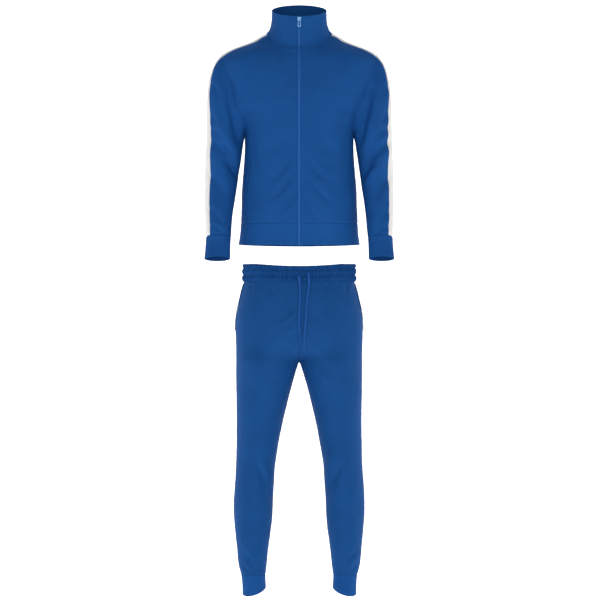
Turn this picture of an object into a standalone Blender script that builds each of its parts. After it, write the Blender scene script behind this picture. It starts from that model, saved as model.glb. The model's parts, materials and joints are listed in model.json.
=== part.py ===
"""A zip-up tracksuit jacket and its joggers, filled out as when they are worn, with nobody in them.

Every cut piece is one closed wall of cloth, made from a grid of points on the outside of the garment.
Sizes are millimetres. +X is the wearer's left, -Y the front and +Z up. The origin is where the
wearer's shoulders carry the jacket, at the height of the neck seam. A grid's rows run upwards, and
its columns run from the front over +X to the back, so that its normals point out of the garment.
"""

import math
from types import SimpleNamespace

import bmesh
import bpy
import numpy as np

MM = 0.001

# Cloth and seams
BODY_WALL = 1.5
RIB_WALL = 2.0
COLLAR_WALL = 2.4
SEAM_GAP = 0.3
LAID_ON_GAP = 0.6

# Colours, as linear red, green and blue
ROYAL_BLUE = (0.012, 0.071, 0.254)
RIB_BLUE = (0.012, 0.067, 0.240)
TAPE_BLUE = (0.020, 0.103, 0.345)
OFF_WHITE = (0.73, 0.73, 0.72)
ENAMEL_BLUE = (0.10, 0.24, 0.46)

# Jacket levels
HEM_LOW = -661.0
HEM_SEAM = -594.0
ARMPIT = -322.0
ARMHOLE_MIDDLE = -190.0
ARMHOLE_HALF_HEIGHT = 132.0
ARMHOLE_HALF_DEPTH = 62.0
HEM_DIP = 4.0

# Neck seam and collar
NECK_HALF_WIDTH = 98.0
NECK_CENTRE_Y = -6.0
NECK_HALF_DEPTH = 74.0
COLLAR_HALF_WIDTH = 86.6
COLLAR_CENTRE_Y = -18.0
COLLAR_HALF_DEPTH = 62.0
COLLAR_TOP = 76.0
COLLAR_TOP_RISE = 22.0

# Shoulder and sleeve stripe
STRIPE_HALF_WIDTH = 19.0

# Zip
ZIP_EDGE = 4.5
TAPE_INNER_EDGE = 0.6
TAPE_OUTER_EDGE = 15.0
TAPE_WALL = 0.8
CHAIN_HALF_WIDTH = 2.8
CHAIN_DEPTH = 2.0
TAPE_GAP = 0.7
ZIP_LAYER_GAP = 0.35

# Slider and pull tab, standing in front of the collar at the top of the zip
COLLAR_FRONT = COLLAR_CENTRE_Y - COLLAR_HALF_DEPTH
SLIDER_LOW = 39.0
SLIDER_HIGH = 51.0
PLATE_BACK = COLLAR_FRONT - 0.3
PLATE_FRONT = COLLAR_FRONT - 2.1
SLIDER_CORE_HALF_WIDTH = 3.2
BAIL_HALF_WIDTH = 1.6
BAIL_LOW, BAIL_HIGH = 41.6, 50.0
BAIL_STRAP = 1.2
TAB_THICKNESS = 1.4
TAB_PIVOT_Y = PLATE_FRONT - 1.45
TAB_PIVOT_Z = 45.8
TAB_BOTTOM = 20.0

# Drawcord
CORD_DIAMETER = 5.6
CORD_SPACING = 11.0

# Sleeve
SLEEVE_TOP_RING = -345.0
SLEEVE_CUFF_SEAM = -640.0
CUFF_LOW = -706.0

# Joggers
WAIST_SEAM = -775.5
WAIST_TOP = -721.5
WAIST_TOP_DIP = 6.5
CROTCH_START = -930.0
CROTCH = -1028.0
ANKLE_SEAM = -1701.0
ANKLE_LOW = -1749.5
ANKLE_OUTER_DROP = 10.5
ANKLE_FRONT_DROP = 14.0
GATHERS = 92
GATHER_HEIGHT = 1.3

# How finely each piece is divided
NECK_COLUMNS = 5
SHOULDER_COLUMNS = 4
BODY_COLUMNS = NECK_COLUMNS + SHOULDER_COLUMNS
STRIPE_COLUMNS = 4
BODY_ROWS = 8
ARMHOLE_ROWS = 8
CAP_ROWS = 6
SLEEVE_ROWS = 10
CUFF_ROWS = 3
LEG_COLUMNS = 9
HIP_ROWS = 5
CROTCH_ROWS = 4
LEG_ROWS = 18
HEM_ROWS = 2


class Sections:
    """Rows of named sizes, the first column being the height, read between rows along a smooth curve."""

    def __init__(self, names, rows):
        table = np.array(sorted(rows), float)
        self.names = names
        self.heights = table[:, 0]
        self.sizes = table[:, 1:]
        slopes = np.diff(self.sizes, axis=0) / np.diff(self.heights)[:, None]
        self.tangents = np.zeros_like(self.sizes)
        self.tangents[0] = slopes[0]
        self.tangents[-1] = slopes[-1]
        below, above = slopes[:-1], slopes[1:]
        same_way = below * above > 0
        total = np.where(same_way, below + above, 1.0)
        self.tangents[1:-1] = np.where(same_way, 2 * below * above / total, 0.0)

    def at(self, height):
        height = min(max(height, self.heights[0]), self.heights[-1])
        row = min(max(int(np.searchsorted(self.heights, height)) - 1, 0), len(self.heights) - 2)
        span = self.heights[row + 1] - self.heights[row]
        t = (height - self.heights[row]) / span
        values = (
            (1 + 2 * t) * (1 - t) ** 2 * self.sizes[row]
            + t * (1 - t) ** 2 * span * self.tangents[row]
            + t * t * (3 - 2 * t) * self.sizes[row + 1]
            + t * t * (t - 1) * span * self.tangents[row + 1]
        )
        return SimpleNamespace(**dict(zip(self.names, values)))


# The jacket's body, as level sections: half width, front and back at the middle, and the y of the side.
BODY = Sections(
    ("half_width", "front", "back", "side", "square"),
    [
        (-665, 193.0, -117, 121, 3, 2.5),
        (-655, 189.5, -117, 121, 3, 2.5),
        (-628, 186.0, -118, 120, 3, 2.5),
        (-600, 184.0, -120, 118, 3, 2.5),
        (-594, 184.5, -121, 118, 3, 2.5),
        (-580, 185.0, -124, 118, 3, 2.5),
        (-551, 182.0, -126, 115, 3, 2.5),
        (-494, 181.0, -127, 110, 3, 2.5),
        (-438, 176.5, -128, 107, 3, 2.5),
        (-381, 172.5, -129, 108, 3, 2.5),
        (-322, 171.5, -130, 112, 3, 2.5),
        (-300, 172.5, -130, 114, 3, 2.5),
        (-265, 184.0, -130, 117, 3, 2.5),
        (-220, 212.0, -128, 119, 3, 2.5),
        (-157, 237.0, -120, 120, 4, 2.5),
        (-99, 248.0, -106, 115, 5, 2.5),
        (-70, 247.0, -96, 109, 5, 2.4),
        (-58, 242.0, -91, 106, 5, 2.4),
        (-50, 228.0, -87, 104, 5, 2.4),
        (-41, 203.0, -80, 101, 5, 2.4),
        (-31, 174.0, -65, 97, 5, 2.4),
        (-22, 147.0, -54, 92, 5, 2.4),
        (-12, 130.0, -44, 87, 5, 2.4),
        (-3, 117.0, -36, 82, 5, 2.4),
        (6, 104.0, -29, 76, 5, 2.4),
        (12, 94.0, -25, 70, 5, 2.4),
        (18, 82.0, -20, 62, 5, 2.4),
        (26, 60.0, -12, 48, 5, 2.4),
    ],
)

# The sleeve below the armpit: its inner and outer line from the front, the middle and half depth
# from the side, how far its rings lean, and the angles of the stripe's two edges.
SLEEVE = Sections(
    ("inner", "outer", "middle", "half_depth", "lean", "stripe_front", "stripe_back"),
    [
        (-706, 216.0, 298.5, -76, 27, 17, 47, 0),
        (-690, 216.0, 296.5, -71, 28, 17, 47, 0),
        (-655, 215.5, 293.5, -60, 32, 17, 47, 0),
        (-640, 214.5, 292.8, -56, 36, 17, 47, 0),
        (-633, 211.5, 294.5, -54, 42, 17, 47, 0),
        (-608, 211.5, 294.5, -47, 46, 16, 47, -1),
        (-551, 206.0, 297.0, -31, 52, 15, 46, -2),
        (-494, 197.5, 297.5, -18, 57, 12, 46, -3),
        (-438, 189.0, 297.5, -10, 62, 7, 45, -3),
        (-381, 180.5, 296.0, -9, 67, 3, 42, -2),
        (-345, 174.5, 293.0, -10, 70, 0, 37, -2),
    ],
)

# The joggers above the crotch, as level sections like the jacket's.
HIPS = Sections(
    ("half_width", "front", "back", "side", "square"),
    [
        (-1028, 200.0, -119, 130, 8, 2.3),
        (-985, 200.0, -124, 139, 7, 2.35),
        (-935, 201.5, -126, 142, 6, 2.4),
        (-885, 200.0, -125, 138, 5, 2.4),
        (-835, 189.5, -121, 127, 4, 2.4),
        (-800, 182.0, -116, 117, 3, 2.4),
        (-785, 179.5, -113, 112, 3, 2.4),
        (-775, 174.0, -110, 108, 3, 2.4),
        (-720, 173.0, -109, 107, 3, 2.4),
    ],
)

# One leg: inner and outer line from the front, front and back from the side.
LEG = Sections(
    ("inner", "outer", "front", "back", "side", "square"),
    [
        (-1764, 104.0, 181.0, -36, 48, 6, 2.0),
        (-1740, 104.5, 180.0, -37, 48, 6, 2.0),
        (-1717, 105.5, 181.0, -39, 50, 6, 2.0),
        (-1701, 106.0, 182.5, -41, 52, 6, 2.0),
        (-1693, 104.5, 188.5, -48, 60, 6, 2.0),
        (-1666, 101.0, 193.0, -53, 67, 6, 2.0),
        (-1616, 97.0, 197.0, -57, 75, 7, 2.0),
        (-1566, 88.5, 202.5, -62, 82, 8, 2.0),
        (-1515, 83.5, 207.0, -67, 86, 8, 2.0),
        (-1465, 82.0, 208.0, -73, 85, 6, 2.0),
        (-1414, 79.0, 204.0, -79, 81, 3, 2.0),
        (-1364, 76.5, 200.0, -83, 79, 1, 2.0),
        (-1313, 69.0, 198.0, -87, 83, 0, 2.0),
        (-1263, 60.0, 197.5, -91, 89, 0, 2.05),
        (-1213, 50.0, 197.5, -96, 96, 1, 2.1),
        (-1162, 38.0, 198.0, -102, 104, 3, 2.15),
        (-1112, 25.0, 199.5, -108, 113, 5, 2.2),
        (-1061, 10.0, 200.0, -115, 123, 7, 2.25),
        (-1028, 0.0, 200.0, -119, 130, 8, 2.3),
        (-930, 0.0, 201.5, -126, 142, 6, 2.4),
    ],
)

# The waistband from its seam up: share of its height, how far it stands out, and how deep its gathers are.
WAISTBAND = [
    SimpleNamespace(share=0.0, proud=0.2, gather=0.7),
    SimpleNamespace(share=0.18, proud=3.6, gather=1.0),
    SimpleNamespace(share=0.37, proud=1.2, gather=0.7),
    SimpleNamespace(share=0.55, proud=3.6, gather=1.0),
    SimpleNamespace(share=0.73, proud=1.2, gather=0.7),
    SimpleNamespace(share=0.88, proud=3.4, gather=0.9),
    SimpleNamespace(share=1.0, proud=0.6, gather=0.5),
]

# Levels of the zip's slider and rows of its pull tab: heights and half widths.
SLIDER_LEVELS = [(SLIDER_LOW, 4.2), (42.0, 5.2), (48.0, 6.0), (50.2, 5.4), (SLIDER_HIGH, 4.0)]
TAB_ROWS = [
    SimpleNamespace(height=TAB_PIVOT_Z + 0.7, outer=4.1, inner=2.2, inner_height=TAB_PIVOT_Z - 0.7),
    SimpleNamespace(height=42.0, outer=4.2, inner=2.2, inner_height=42.0),
    SimpleNamespace(height=36.0, outer=3.8, inner=2.0, inner_height=36.5),
    SimpleNamespace(height=29.0, outer=5.0, inner=2.7, inner_height=29.5),
    SimpleNamespace(height=22.5, outer=5.6, inner=3.2, inner_height=25.0),
    SimpleNamespace(height=TAB_BOTTOM, outer=3.6, inner=2.2, inner_height=22.6),
]

# The pockets laid on the fronts: rows of the panel's grid, and the two columns between which the welt lies.
JACKET_WELT = [(1.2, 6.50, 6.92), (2.0, 6.42, 6.84), (3.0, 6.32, 6.74), (4.0, 6.22, 6.64), (5.0, 6.12, 6.54), (5.7, 6.06, 6.48)]
JOGGERS_WELT = [(22.0, 8.48, 8.92), (23.0, 8.36, 8.80), (24.0, 8.24, 8.68), (25.0, 8.14, 8.58), (26.0, 8.06, 8.50), (26.7, 8.0, 8.44)]

# The two free ends of the drawcord: across, how far in front of the cloth, and height.
CORD_ROUTES = {
    "right": [(-0.8, 2.2, -756), (-0.8, 6.4, -760), (-0.4, 6.6, -768), (1.6, 5.6, -790), (2.4, 4.4, -819),
              (0.8, 4.2, -862), (-0.8, 4.6, -904), (1.4, 6.4, -940), (3.9, 15.0, -973)],
    "left": [(27.6, 3.0, -747), (28.2, 6.4, -751), (29.4, 6.6, -759), (30.7, 6.0, -786), (27.6, 4.6, -815),
             (24.4, 4.2, -841), (21.3, 5.6, -891), (17.0, 7.6, -936), (15.4, 13.0, -968), (15.0, 22.0, -997)],
}

# How the collar narrows from the neck seam up: share of its height and share of the way to its top width.
COLLAR_RISE = [(0.0, 0.0), (0.12, 0.32), (0.30, 0.74), (0.55, 0.95), (0.80, 1.0), (1.0, 1.0)]


def fold(x0, z0, x1, z1, face, width, depth):
    return SimpleNamespace(x0=x0, z0=z0, x1=x1, z1=z1, face=face, width=width, depth=depth)


# The largest folds of one half of each garment, which the other half mirrors: the two ends of the crease
# as seen from the front, the face it lies on (-1 front, 1 back), its width, and its height over the cloth.
JACKET_FOLDS = [
    fold(284, -318, 206, -440, -1, 17, -6.5),
    fold(282, -350, 218, -470, -1, 14, 4.5),
    fold(262, -330, 196, -395, -1, 15, -5.0),
    fold(290, -405, 232, -520, -1, 15, -4.0),
    fold(276, -150, 246, -262, -1, 15, -3.5),
    fold(262, -560, 238, -628, -1, 12, -3.0),
    fold(280, -330, 205, -425, 1, 17, -5.0),
    fold(286, -395, 215, -480, 1, 15, -4.0),
    fold(40, -470, 118, -585, -1, 15, 3.5),
    fold(22, -520, 74, -592, -1, 13, -3.0),
    fold(160, -340, 128, -440, -1, 16, -3.0),
    fold(60, -360, 140, -540, 1, 20, -4.0),
    fold(40, -455, 150, -500, 1, 18, 4.0),
]
JOGGER_FOLDS = [
    fold(18, -885, 78, -930, -1, 14, 4.0),
    fold(10, -905, 62, -960, -1, 12, -3.5),
    fold(12, -1010, 105, -1042, -1, 17, -5.0),
    fold(20, -1045, 118, -1075, 1, 18, -6.0),
    fold(10, -985, 120, -1010, 1, 18, 4.5),
    fold(122, -1330, 88, -1452, -1, 12, -5.5),
    fold(108, -1318, 78, -1420, -1, 11, 4.5),
    fold(138, -1370, 100, -1475, -1, 13, -3.5),
    fold(190, -1405, 110, -1440, 1, 16, -5.5),
    fold(185, -1350, 100, -1385, 1, 15, -4.0),
    fold(184, -1625, 150, -1690, -1, 12, -4.0),
    fold(112, -1640, 128, -1692, -1, 11, -3.0),
    fold(180, -1630, 120, -1672, 1, 14, -4.5),
]


def section_y(form, height, x, face):
    """The y of a level section at x, on its front (-1) or back (1)."""
    row = form.at(height)
    depth = row.side - row.front if face < 0 else row.back - row.side
    inside = max(0.0, 1.0 - (abs(x) / row.half_width) ** row.square)
    return row.side + face * depth * inside ** (1 / row.square)


def section_x(form, height, off_side, face):
    """The x of a level section where it lies off_side in front of or behind its side."""
    row = form.at(height)
    depth = row.side - row.front if face < 0 else row.back - row.side
    inside = max(0.0, 1.0 - (off_side / depth) ** row.square)
    return row.half_width * inside ** (1 / row.square)


def height_over(form, x, y, low=-120.0, high=26.0):
    """The height at which the shoulders close over the point x, y."""
    for _ in range(40):
        middle = (low + high) / 2
        row = form.at(middle)
        depth = row.side - row.front if y < row.side else row.back - row.side
        share = (abs(x) / row.half_width) ** row.square + (abs(y - row.side) / depth) ** row.square
        if share < 1:
            low = middle
        else:
            high = middle
    return (low + high) / 2


def evenly_along(points, count):
    """count + 1 points an equal way apart along a fine line of points."""
    points = np.array(points, float)
    steps = np.linalg.norm(np.diff(points, axis=0), axis=1)
    travelled = np.concatenate([[0], np.cumsum(steps)])
    wanted = np.linspace(0, travelled[-1], count + 1)
    return np.stack([np.interp(wanted, travelled, points[:, axis]) for axis in range(points.shape[1])], 1)


def half_section(form, height, face, start_x, count):
    """Points of a level section from near its middle to its side, on the front or the back."""
    row = form.at(height)
    depth = row.side - row.front if face < 0 else row.back - row.side
    first = math.asin(min(1.0, start_x / row.half_width) ** (row.square / 2))
    line = []
    for angle in np.linspace(first, math.pi / 2, 200):
        across = row.half_width * math.sin(angle) ** (2 / row.square)
        along = depth * max(0.0, math.cos(angle)) ** (2 / row.square)
        line.append((across, row.side + face * along, height))
    return evenly_along(line, count)


def mirrored(grid):
    """The same grid on the other side of the body, its columns still running the same way round."""
    return grid[:, ::-1] * np.array([-1.0, 1.0, 1.0])


def neck_point(angle):
    """A point of the neck seam, the angle running from the middle front to the middle back."""
    x = NECK_HALF_WIDTH * math.sin(angle)
    y = NECK_CENTRE_Y - NECK_HALF_DEPTH * math.cos(angle)
    return np.array([x, y, height_over(BODY, x, y)])


def neck_angle_at(y):
    return math.acos((NECK_CENTRE_Y - y) / NECK_HALF_DEPTH)


SHOULDER_Y = BODY.at(0).side
STRIPE_FRONT_ANGLE = neck_angle_at(SHOULDER_Y - STRIPE_HALF_WIDTH)
STRIPE_BACK_ANGLE = neck_angle_at(SHOULDER_Y + STRIPE_HALF_WIDTH)
NECK_FIRST_ANGLE = math.asin(ZIP_EDGE / NECK_HALF_WIDTH)


def neck_angles(face):
    """Angles of the neck seam's points from the middle of the body to the stripe."""
    if face < 0:
        return np.linspace(NECK_FIRST_ANGLE, STRIPE_FRONT_ANGLE, NECK_COLUMNS + 1)
    return np.linspace(math.pi, STRIPE_BACK_ANGLE, NECK_COLUMNS + 1)


def armhole(face):
    """The armhole's points from the armpit up to the stripe, on the front or the back."""
    top = math.pi - math.asin(STRIPE_HALF_WIDTH / ARMHOLE_HALF_DEPTH)
    points = []
    for angle in np.linspace(0, top, ARMHOLE_ROWS + 1):
        height = ARMHOLE_MIDDLE - ARMHOLE_HALF_HEIGHT * math.cos(angle)
        off_side = ARMHOLE_HALF_DEPTH * math.sin(angle)
        x = section_x(BODY, height, off_side, face)
        points.append((x, BODY.at(height).side + face * off_side, height))
    return np.array(points)


def shoulder_line(start, end):
    """Points over the shoulder from the neck seam to the armhole, in a straight line seen from above."""
    points = []
    for share in np.linspace(0, 1, SHOULDER_COLUMNS + 1):
        x, y = (1 - share) * start[:2] + share * end[:2]
        points.append((x, y, height_over(BODY, x, y)))
    points[0], points[-1] = tuple(start), tuple(end)
    return np.array(points)


def body_half(face):
    """Half of the jacket's front or back, its columns running from the middle to the side."""
    start_x = ZIP_EDGE if face < 0 else 0.0
    lower = [
        half_section(BODY, height, face, start_x, BODY_COLUMNS)
        for height in np.linspace(HEM_SEAM, ARMPIT, BODY_ROWS + 1)
    ]
    bottom = lower[-1]
    edge = armhole(face)
    bottom[-1] = edge[0]
    neck = np.array([neck_point(angle) for angle in neck_angles(face)])
    top = np.concatenate([neck, shoulder_line(neck[-1], edge[-1])[1:]])
    upper = []
    for row in range(1, ARMHOLE_ROWS + 1):
        share = row / ARMHOLE_ROWS
        edge_share = (edge[row][2] - ARMPIT) / (edge[-1][2] - ARMPIT)
        points = []
        for column in range(BODY_COLUMNS + 1):
            across = column / BODY_COLUMNS
            rise = share + (edge_share - share) * across**2
            height = ARMPIT + (top[column][2] - ARMPIT) * rise
            low_share = bottom[column][0] / bottom[-1][0]
            high_share = top[column][0] / top[-1][0]
            x = edge[row][0] * (low_share + (high_share - low_share) * share)
            points.append((x, section_y(BODY, height, x, face), height))
        points[-1] = tuple(edge[row])
        upper.append(np.array(points))
    upper[-1] = top
    return np.array(lower + upper)


def shoulder_stripe(front_half, back_half):
    """The stripe over one shoulder: rows from the armhole to the neck, columns from front to back."""
    front_edge = front_half[-1][NECK_COLUMNS:]
    back_edge = back_half[-1][NECK_COLUMNS:]
    neck = [neck_point(a) for a in np.linspace(STRIPE_FRONT_ANGLE, STRIPE_BACK_ANGLE, STRIPE_COLUMNS + 1)]
    rows = []
    for row in range(SHOULDER_COLUMNS, -1, -1):
        share = row / SHOULDER_COLUMNS
        points = [front_edge[row]]
        for column in range(1, STRIPE_COLUMNS):
            across = column / STRIPE_COLUMNS
            y_arm = (1 - across) * front_edge[-1][1] + across * back_edge[-1][1]
            x_arm = section_x(BODY, -58.0, abs(y_arm - SHOULDER_Y), -1 if y_arm < SHOULDER_Y else 1)
            x = (1 - share) * neck[column][0] + share * x_arm
            y = (1 - share) * neck[column][1] + share * y_arm
            points.append((x, y, height_over(BODY, x, y)))
        points.append(back_edge[row])
        if row == 0:
            points[1:-1] = neck[1:-1]
        rows.append(np.array(points))
    return np.array(rows)


def sleeve_angles(row):
    """The angles of a sleeve ring's columns, from the armpit over the front, the stripe and the back."""
    inner = math.pi
    front, back = math.radians(row.stripe_front), math.radians(row.stripe_back)
    return np.concatenate(
        [
            np.linspace(inner, front, ARMHOLE_ROWS + 1)[:-1],
            np.linspace(front, back, STRIPE_COLUMNS + 1),
            np.linspace(back, -inner, ARMHOLE_ROWS + 1)[1:],
        ]
    )


def sleeve_ring(height):
    row = SLEEVE.at(height)
    middle_x, half_width = (row.inner + row.outer) / 2, (row.outer - row.inner) / 2
    lean = math.radians(row.lean)
    points = []
    for angle in sleeve_angles(row):
        forward = row.half_depth * math.sin(angle)
        points.append(
            (
                middle_x + half_width * math.cos(angle),
                row.middle - forward * math.cos(lean),
                height + forward * math.sin(lean),
            )
        )
    return np.array(points)


def sleeve_cap(front_half, back_half, stripe):
    """Rings from the first level ring up to the armhole, each column leaving the armhole as the shoulder does."""
    front_edge = front_half[BODY_ROWS:, -1]
    back_edge = back_half[BODY_ROWS:, -1]
    ring = np.concatenate([front_edge, stripe[0][1:-1], back_edge[::-1]])
    low = sleeve_ring(SLEEVE_TOP_RING)
    top_height = ring[:, 2].max()
    rows = []
    for row in range(1, CAP_ROWS):
        t = 1 - row / CAP_ROWS
        points = []
        for start, end in zip(ring, low):
            rise = (start[2] - ARMPIT) / (top_height - ARMPIT)
            reach = np.linalg.norm(end - start)
            toward = 1 if start[1] > SHOULDER_Y else -1
            bulge = min(1.0, abs(start[1] - SHOULDER_Y) / ARMHOLE_HALF_DEPTH)
            leave = np.array([0.1 + 0.80 * rise, 0.30 * toward * bulge, -1 + 0.38 * rise**2])
            leave *= 0.80 * reach / np.linalg.norm(leave)
            arrive = np.array([0.05 * rise, 0.0, -1.0]) * reach * 1.05
            points.append(
                (1 + 2 * t) * (1 - t) ** 2 * start
                + t * (1 - t) ** 2 * leave
                + t * t * (3 - 2 * t) * end
                + t * t * (t - 1) * arrive
            )
        rows.append(np.array(points))
    return np.array(rows + [ring])


def sleeve(front_half, back_half, stripe):
    lower = [sleeve_ring(h) for h in np.linspace(SLEEVE_CUFF_SEAM, SLEEVE_TOP_RING, SLEEVE_ROWS + 1)]
    return np.concatenate([np.array(lower), sleeve_cap(front_half, back_half, stripe)])


def cuff(sleeve_grid):
    """The rib cuff, a closed ring whose last column stops one short of its first."""
    rows = [sleeve_ring(h)[:-1] for h in np.linspace(CUFF_LOW, SLEEVE_CUFF_SEAM, CUFF_ROWS + 1)]
    rows[-1] = sleeve_grid[0][:-1]
    return np.array(rows)


def hem_band(front_half, back_half):
    """The band below the body, from the zip round the back to the zip."""
    halves = []
    for face, body in ((-1, front_half), (1, back_half)):
        start_x = ZIP_EDGE if face < 0 else 0.0
        rows = []
        for height in np.linspace(HEM_LOW, HEM_SEAM, HEM_ROWS + 1):
            points = half_section(BODY, height, face, start_x, BODY_COLUMNS)
            if height == HEM_LOW:
                points[:, 2] -= HEM_DIP * (1 - (points[:, 0] / points[:, 0].max()) ** 2)
            rows.append(points)
        rows[-1] = body[0]
        halves.append(np.array(rows))
    half = np.concatenate([halves[0], halves[1][:, ::-1][:, 1:]], axis=1)
    return np.concatenate([half, mirrored(half)[:, 1:]], axis=1)


def collar(stripe):
    """The stand collar, from the zip round the back of the neck to the zip."""
    angles = np.concatenate(
        [
            neck_angles(-1),
            np.linspace(STRIPE_FRONT_ANGLE, STRIPE_BACK_ANGLE, STRIPE_COLUMNS + 1)[1:-1],
            neck_angles(1)[::-1],
        ]
    )
    base = np.array([neck_point(angle) for angle in angles])
    top = []
    for angle in angles:
        if angle == NECK_FIRST_ANGLE:
            angle = math.asin(ZIP_EDGE / COLLAR_HALF_WIDTH)
        top.append(
            (
                COLLAR_HALF_WIDTH * math.sin(angle),
                COLLAR_CENTRE_Y - COLLAR_HALF_DEPTH * math.cos(angle),
                COLLAR_TOP - COLLAR_TOP_RISE * math.cos(angle),
            )
        )
    top = np.array(top)
    rows = []
    for rise, narrowing in COLLAR_RISE:
        row = (1 - rise) * base + rise * top
        row[:, 0] = (1 - narrowing) * base[:, 0] + narrowing * top[:, 0]
        row[0, 0] = ZIP_EDGE
        rows.append(row)
    half = np.array(rows)
    half[:, -1, 0] = 0.0
    return np.concatenate([half, mirrored(half)[:, 1:]], axis=1)


def leg_half_section(height, face, count):
    """Points of one leg's section from its inner line to its outer line, over the front or the back."""
    row = LEG.at(height)
    middle, half_width = (row.inner + row.outer) / 2, (row.outer - row.inner) / 2
    depth = row.side - row.front if face < 0 else row.back - row.side
    line = []
    for angle in np.linspace(0, math.pi, 300):
        across = math.copysign(abs(math.cos(angle)) ** (2 / row.square), math.cos(angle))
        along = max(0.0, math.sin(angle)) ** (2 / row.square)
        line.append((middle - half_width * across, row.side + face * depth * along, height))
    return evenly_along(line, count)


def leg_quarter(face):
    """The front or back of one trouser leg: columns from the middle seam or inseam to the side seam."""
    rows = []
    for row in range(LEG_ROWS, 0, -1):
        height = CROTCH + (ANKLE_SEAM - CROTCH) * row / LEG_ROWS
        rows.append(leg_half_section(height, face, LEG_COLUMNS))
    for row in range(CROTCH_ROWS, 0, -1):
        turn = math.pi / 2 * row / CROTCH_ROWS
        inner_height = CROTCH_START + (CROTCH - CROTCH_START) * math.sin(turn)
        outer_height = CROTCH_START + (CROTCH - CROTCH_START) * row / CROTCH_ROWS
        points = []
        for column in range(LEG_COLUMNS + 1):
            share = column / LEG_COLUMNS
            share = share * share * (3 - 2 * share)
            height = inner_height + (outer_height - inner_height) * share
            hip = half_section(HIPS, height, face, 0.0, LEG_COLUMNS)[column]
            leg = leg_half_section(height, face, LEG_COLUMNS)[column]
            points.append(hip + (leg - hip) * (1 - math.cos(turn)))
        rows.append(np.array(points))
    for height in np.linspace(CROTCH_START, WAIST_SEAM, HIP_ROWS + 1):
        rows.append(half_section(HIPS, height, face, 0.0, LEG_COLUMNS))
    return np.array(rows)


def ankle_cuff(front, back):
    """The rib cuff round one ankle, lower in front and at its outer side."""
    rows = []
    for row in range(CUFF_ROWS + 1):
        height = ANKLE_LOW + (ANKLE_SEAM - ANKLE_LOW) * row / CUFF_ROWS
        over_front = leg_half_section(height, -1, LEG_COLUMNS)
        over_back = leg_half_section(height, 1, LEG_COLUMNS)[::-1]
        points = np.concatenate([over_front, over_back[1:-1]])
        sizes = LEG.at(height)
        across = (points[:, 0] * 2 - sizes.inner - sizes.outer) / (sizes.outer - sizes.inner)
        forward = np.maximum(0.0, (sizes.side - points[:, 1]) / (sizes.side - sizes.front))
        drop = ANKLE_OUTER_DROP * across + ANKLE_FRONT_DROP * forward
        points[:, 2] -= drop * (1 - row / CUFF_ROWS)
        rows.append(points)
    rows[-1] = np.concatenate([front[0], back[0][::-1][1:-1]])
    return np.array(rows)


def fold_height(point, normal, folds):
    """How far the folds move a point of the cloth along its normal."""
    total = 0.0
    for f in folds:
        facing = min(1.0, max(0.0, 0.25 + 1.3 * f.face * normal[1]))
        if facing == 0.0:
            continue
        start, along = np.array([f.x0, f.z0]), np.array([f.x1 - f.x0, f.z1 - f.z0])
        offset = np.array([abs(point[0]), point[2]]) - start
        share = float(offset @ along / (along @ along))
        nearest = min(1.0, max(0.0, share))
        apart = np.linalg.norm(offset - nearest * along)
        fade = math.exp(-((apart / f.width) ** 2))
        total += f.depth * fade * facing * (0.35 + 0.65 * math.sin(math.pi * nearest))
    return total


def point_key(point):
    return tuple(np.round(point, 2) + 0.0)


def outward_normals(grids, closed):
    """Each grid's normals, shared where grids meet, so that both sides of a seam lean the same way."""
    totals = {}
    for name, grid in grids.items():
        columns = grid.shape[1]
        for row in range(grid.shape[0] - 1):
            for column in range(columns if name in closed else columns - 1):
                after = (column + 1) % columns
                corners = [grid[row, column], grid[row, after], grid[row + 1, after], grid[row + 1, column]]
                face = np.cross(corners[2] - corners[0], corners[3] - corners[1])
                for corner in corners:
                    key = point_key(corner)
                    totals[key] = totals.get(key, 0) + face
    normals = {}
    for name, grid in grids.items():
        found = np.array([[totals[point_key(point)] for point in row] for row in grid])
        normals[name] = found / np.linalg.norm(found, axis=2, keepdims=True)
    return normals


def folded(grids, normals, folds):
    moved = {}
    for name, grid in grids.items():
        shift = np.array(
            [
                [fold_height(point, normal, folds) for point, normal in zip(row, leans)]
                for row, leans in zip(grid, normals[name])
            ]
        )
        moved[name] = grid + shift[:, :, None] * normals[name]
    return moved


def pulled_in(grid, closed):
    """The grid with each open edge drawn back by half a seam gap."""
    grid = grid.copy()
    edges = [(0, 1, 0), (-1, -2, 0)]
    if not closed:
        edges += [(0, 1, 1), (-1, -2, 1)]
    for edge, next_in, axis in edges:
        line = grid[edge] if axis == 0 else grid[:, edge]
        inner = grid[next_in] if axis == 0 else grid[:, next_in]
        step = inner - line
        length = np.linalg.norm(step, axis=1, keepdims=True)
        line += step / length * (SEAM_GAP / 2 + 0.03)
    return grid


def material(name, colour, roughness=0.75, metallic=0.0):
    made = bpy.data.materials.get(name) or bpy.data.materials.new(name)
    made.use_nodes = True
    shader = made.node_tree.nodes["Principled BSDF"]
    shader.inputs["Base Color"].default_value = (*colour, 1.0)
    shader.inputs["Roughness"].default_value = roughness
    shader.inputs["Metallic"].default_value = metallic
    return made


def add_object(name, data, finish, smooth_angle=None):
    obj = bpy.data.objects.new(name, data)
    bpy.context.scene.collection.objects.link(obj)
    data.materials.append(finish)
    if smooth_angle is not None:
        data.shade_smooth()
        data.set_sharp_from_angle(angle=math.radians(smooth_angle))
    return obj


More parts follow.
